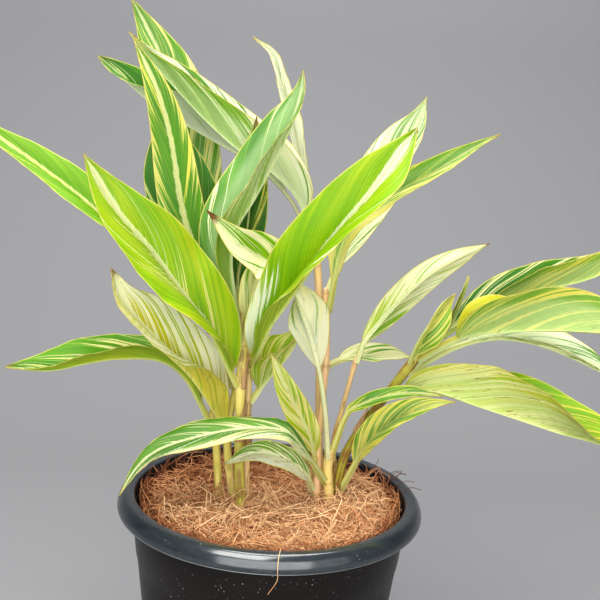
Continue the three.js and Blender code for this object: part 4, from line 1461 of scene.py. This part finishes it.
def climbing_fibres_piece(material):
    """Fibres that stand against the wall on the right, and a few dark ones that reach over the rim."""
    random = np.random.default_rng(31)
    paths, shades = [], []
    for number in range(CLIMBERS["count"]):
        over = number < CLIMBERS["over"]
        bearings = CLIMBERS["over_bearings"] if over else CLIMBERS["inside_bearings"]
        knots = CLIMBERS["knots"] if over else CLIMBERS["knots"][: CLIMBERS["inside_knots"]]
        angle = math.radians(random.uniform(*bearings))
        path = []
        for radius, z in knots:
            angle += random.uniform(-0.06, 0.06)
            spot = np.array([radius * math.cos(angle), radius * math.sin(angle), z])
            path.append(spot + random.uniform(-2, 2, 3) * (1 if z < CLIMBERS["steady_above"] else 0.4))
        paths.append(path)
        shades.append(0.2 if over else random.uniform(0.5, 1.3))
    fibre_mesh("climbing_fibres", paths, CLIMBERS["radius"], shades, material)


def hanging_fibre_piece(material):
    """One fibre that has slipped over the front of the rim."""
    fibre_mesh("hanging_fibre", [HANGING_FIBRE], 0.26, [1.6], material)


# Stage


def stage_material():
    """Matt grey paper that is clear when seen from behind, so that the plant shows from every side."""
    material, look = new_material("studio_sheet", rgb(200, 200, 204))
    paper = look.node("ShaderNodeBsdfPrincipled", {}, {"Base Color": rgb(128, 128, 130), "Roughness": 0.9})
    clear = look.node("ShaderNodeBsdfTransparent")
    behind = look.node("ShaderNodeNewGeometry", {}, {}, "Backfacing")
    surface = look.node("ShaderNodeMixShader", {}, {0: behind, 1: paper, 2: clear})
    look.node("ShaderNodeOutputMaterial", {}, {"Surface": surface})
    return material


def add_stage():
    """A pale sheet that lies on the floor and sweeps up behind the plant."""
    width, back, sweep = BACKDROP["half_width"], BACKDROP["back"], BACKDROP["sweep"]
    turn = np.linspace(0, np.pi / 2, BACKDROP["steps"])
    profile = [[BACKDROP["front"], 0]]
    profile += [[back + sweep * math.sin(t), sweep - sweep * math.cos(t)] for t in turn]
    profile += [[back + sweep, BACKDROP["top"]]]
    points, faces = [], []
    for k, (y, z) in enumerate(profile):
        points += [[-width, y, z], [width, y, z]]
        if k:
            faces.append((2 * k - 2, 2 * k - 1, 2 * k + 1, 2 * k))
    sheet = new_skin("studio_sheet", points, faces, stage_material())


def add_light(name, place, size, power, colour):
    """A soft light of a width and height, aimed at the middle of the plant."""
    light = bpy.data.lights.new(name, "AREA")
    light.shape = "RECTANGLE"
    light.size, light.size_y = size
    light.energy = power
    light.color = colour
    lamp = bpy.data.objects.new(name, light)
    lamp.location = place
    aim = Vector(LAMPS_AIM) - lamp.location
    lamp.rotation_euler = aim.to_track_quat("-Z", "Y").to_euler()
    lamp.visible_camera = False
    bpy.context.scene.collection.objects.link(lamp)


def add_lights():
    """The lamps, and a weak even light from all round."""
    for name, lamp in LAMPS.items():
        add_light(name, *lamp)
    world = bpy.data.worlds.new("studio")
    world.use_nodes = True
    sky = world.node_tree.nodes["Background"].inputs
    sky["Color"].default_value = DAYLIGHT["colour"]
    sky["Strength"].default_value = DAYLIGHT["strength"]
    bpy.context.scene.world = world


def add_camera():
    """The photograph's viewpoint: its lens, place, aim and slight roll."""
    camera = bpy.data.cameras.new("photograph")
    camera.sensor_width = CAMERA["sensor"]
    camera.lens = CAMERA["sensor"] / 2 / math.tan(math.radians(CAMERA["view"] / 2))
    camera.clip_start, camera.clip_end = 0.01, 50
    eye, aim, roll = Vector(CAMERA["eye"]), Vector(CAMERA["aim"]), math.radians(CAMERA["roll"])
    forward = (aim - eye).normalized()
    right = forward.cross(Vector((0, 0, 1))).normalized()
    up = right.cross(forward)
    turned = right * math.cos(roll) + up * math.sin(roll)
    upright = up * math.cos(roll) - right * math.sin(roll)
    view = bpy.data.objects.new("photograph", camera)
    view.matrix_world = Matrix.Translation(eye) @ Matrix((turned, upright, -forward)).transposed().to_4x4()
    bpy.context.scene.collection.objects.link(view)
    bpy.context.scene.camera = view


# The part


def dress_nodes(frame, material, *names):
    """Gives CAD nodes that stay a material of their own."""
    for name in names:
        slots = frame["nodes"][name].data.materials
        slots.clear()
        slots.append(material)


def main():
    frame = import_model()
    bpy.context.scene.view_settings.view_transform = "Standard"
    add_camera()
    add_lights()
    add_stage()
    dress_nodes(frame, mix_material(), "potting_mix")
    dress_nodes(frame, rhizome_material(), "left_rhizome", "right_rhizome")
    pot_piece(plastic_material())
    leaf_skin = leaf_material()
    for number, name in enumerate(LEAVES):
        leaf_piece(name, number, leaf_skin)
    cane_skin = cane_material()
    for number, name in enumerate(CANES):
        cane_piece(name, number, cane_skin)
    dry_skin = papery_material()
    for number, name in enumerate(SCRAPS):
        scrap_piece(name, number, dry_skin)
    coir_bed_piece(coir_bed_material())
    fibres = coir_fibre_material()
    coir_fibre_pieces(fibres)
    climbing_fibres_piece(fibres)
    hanging_fibre_piece(fibres)


main()
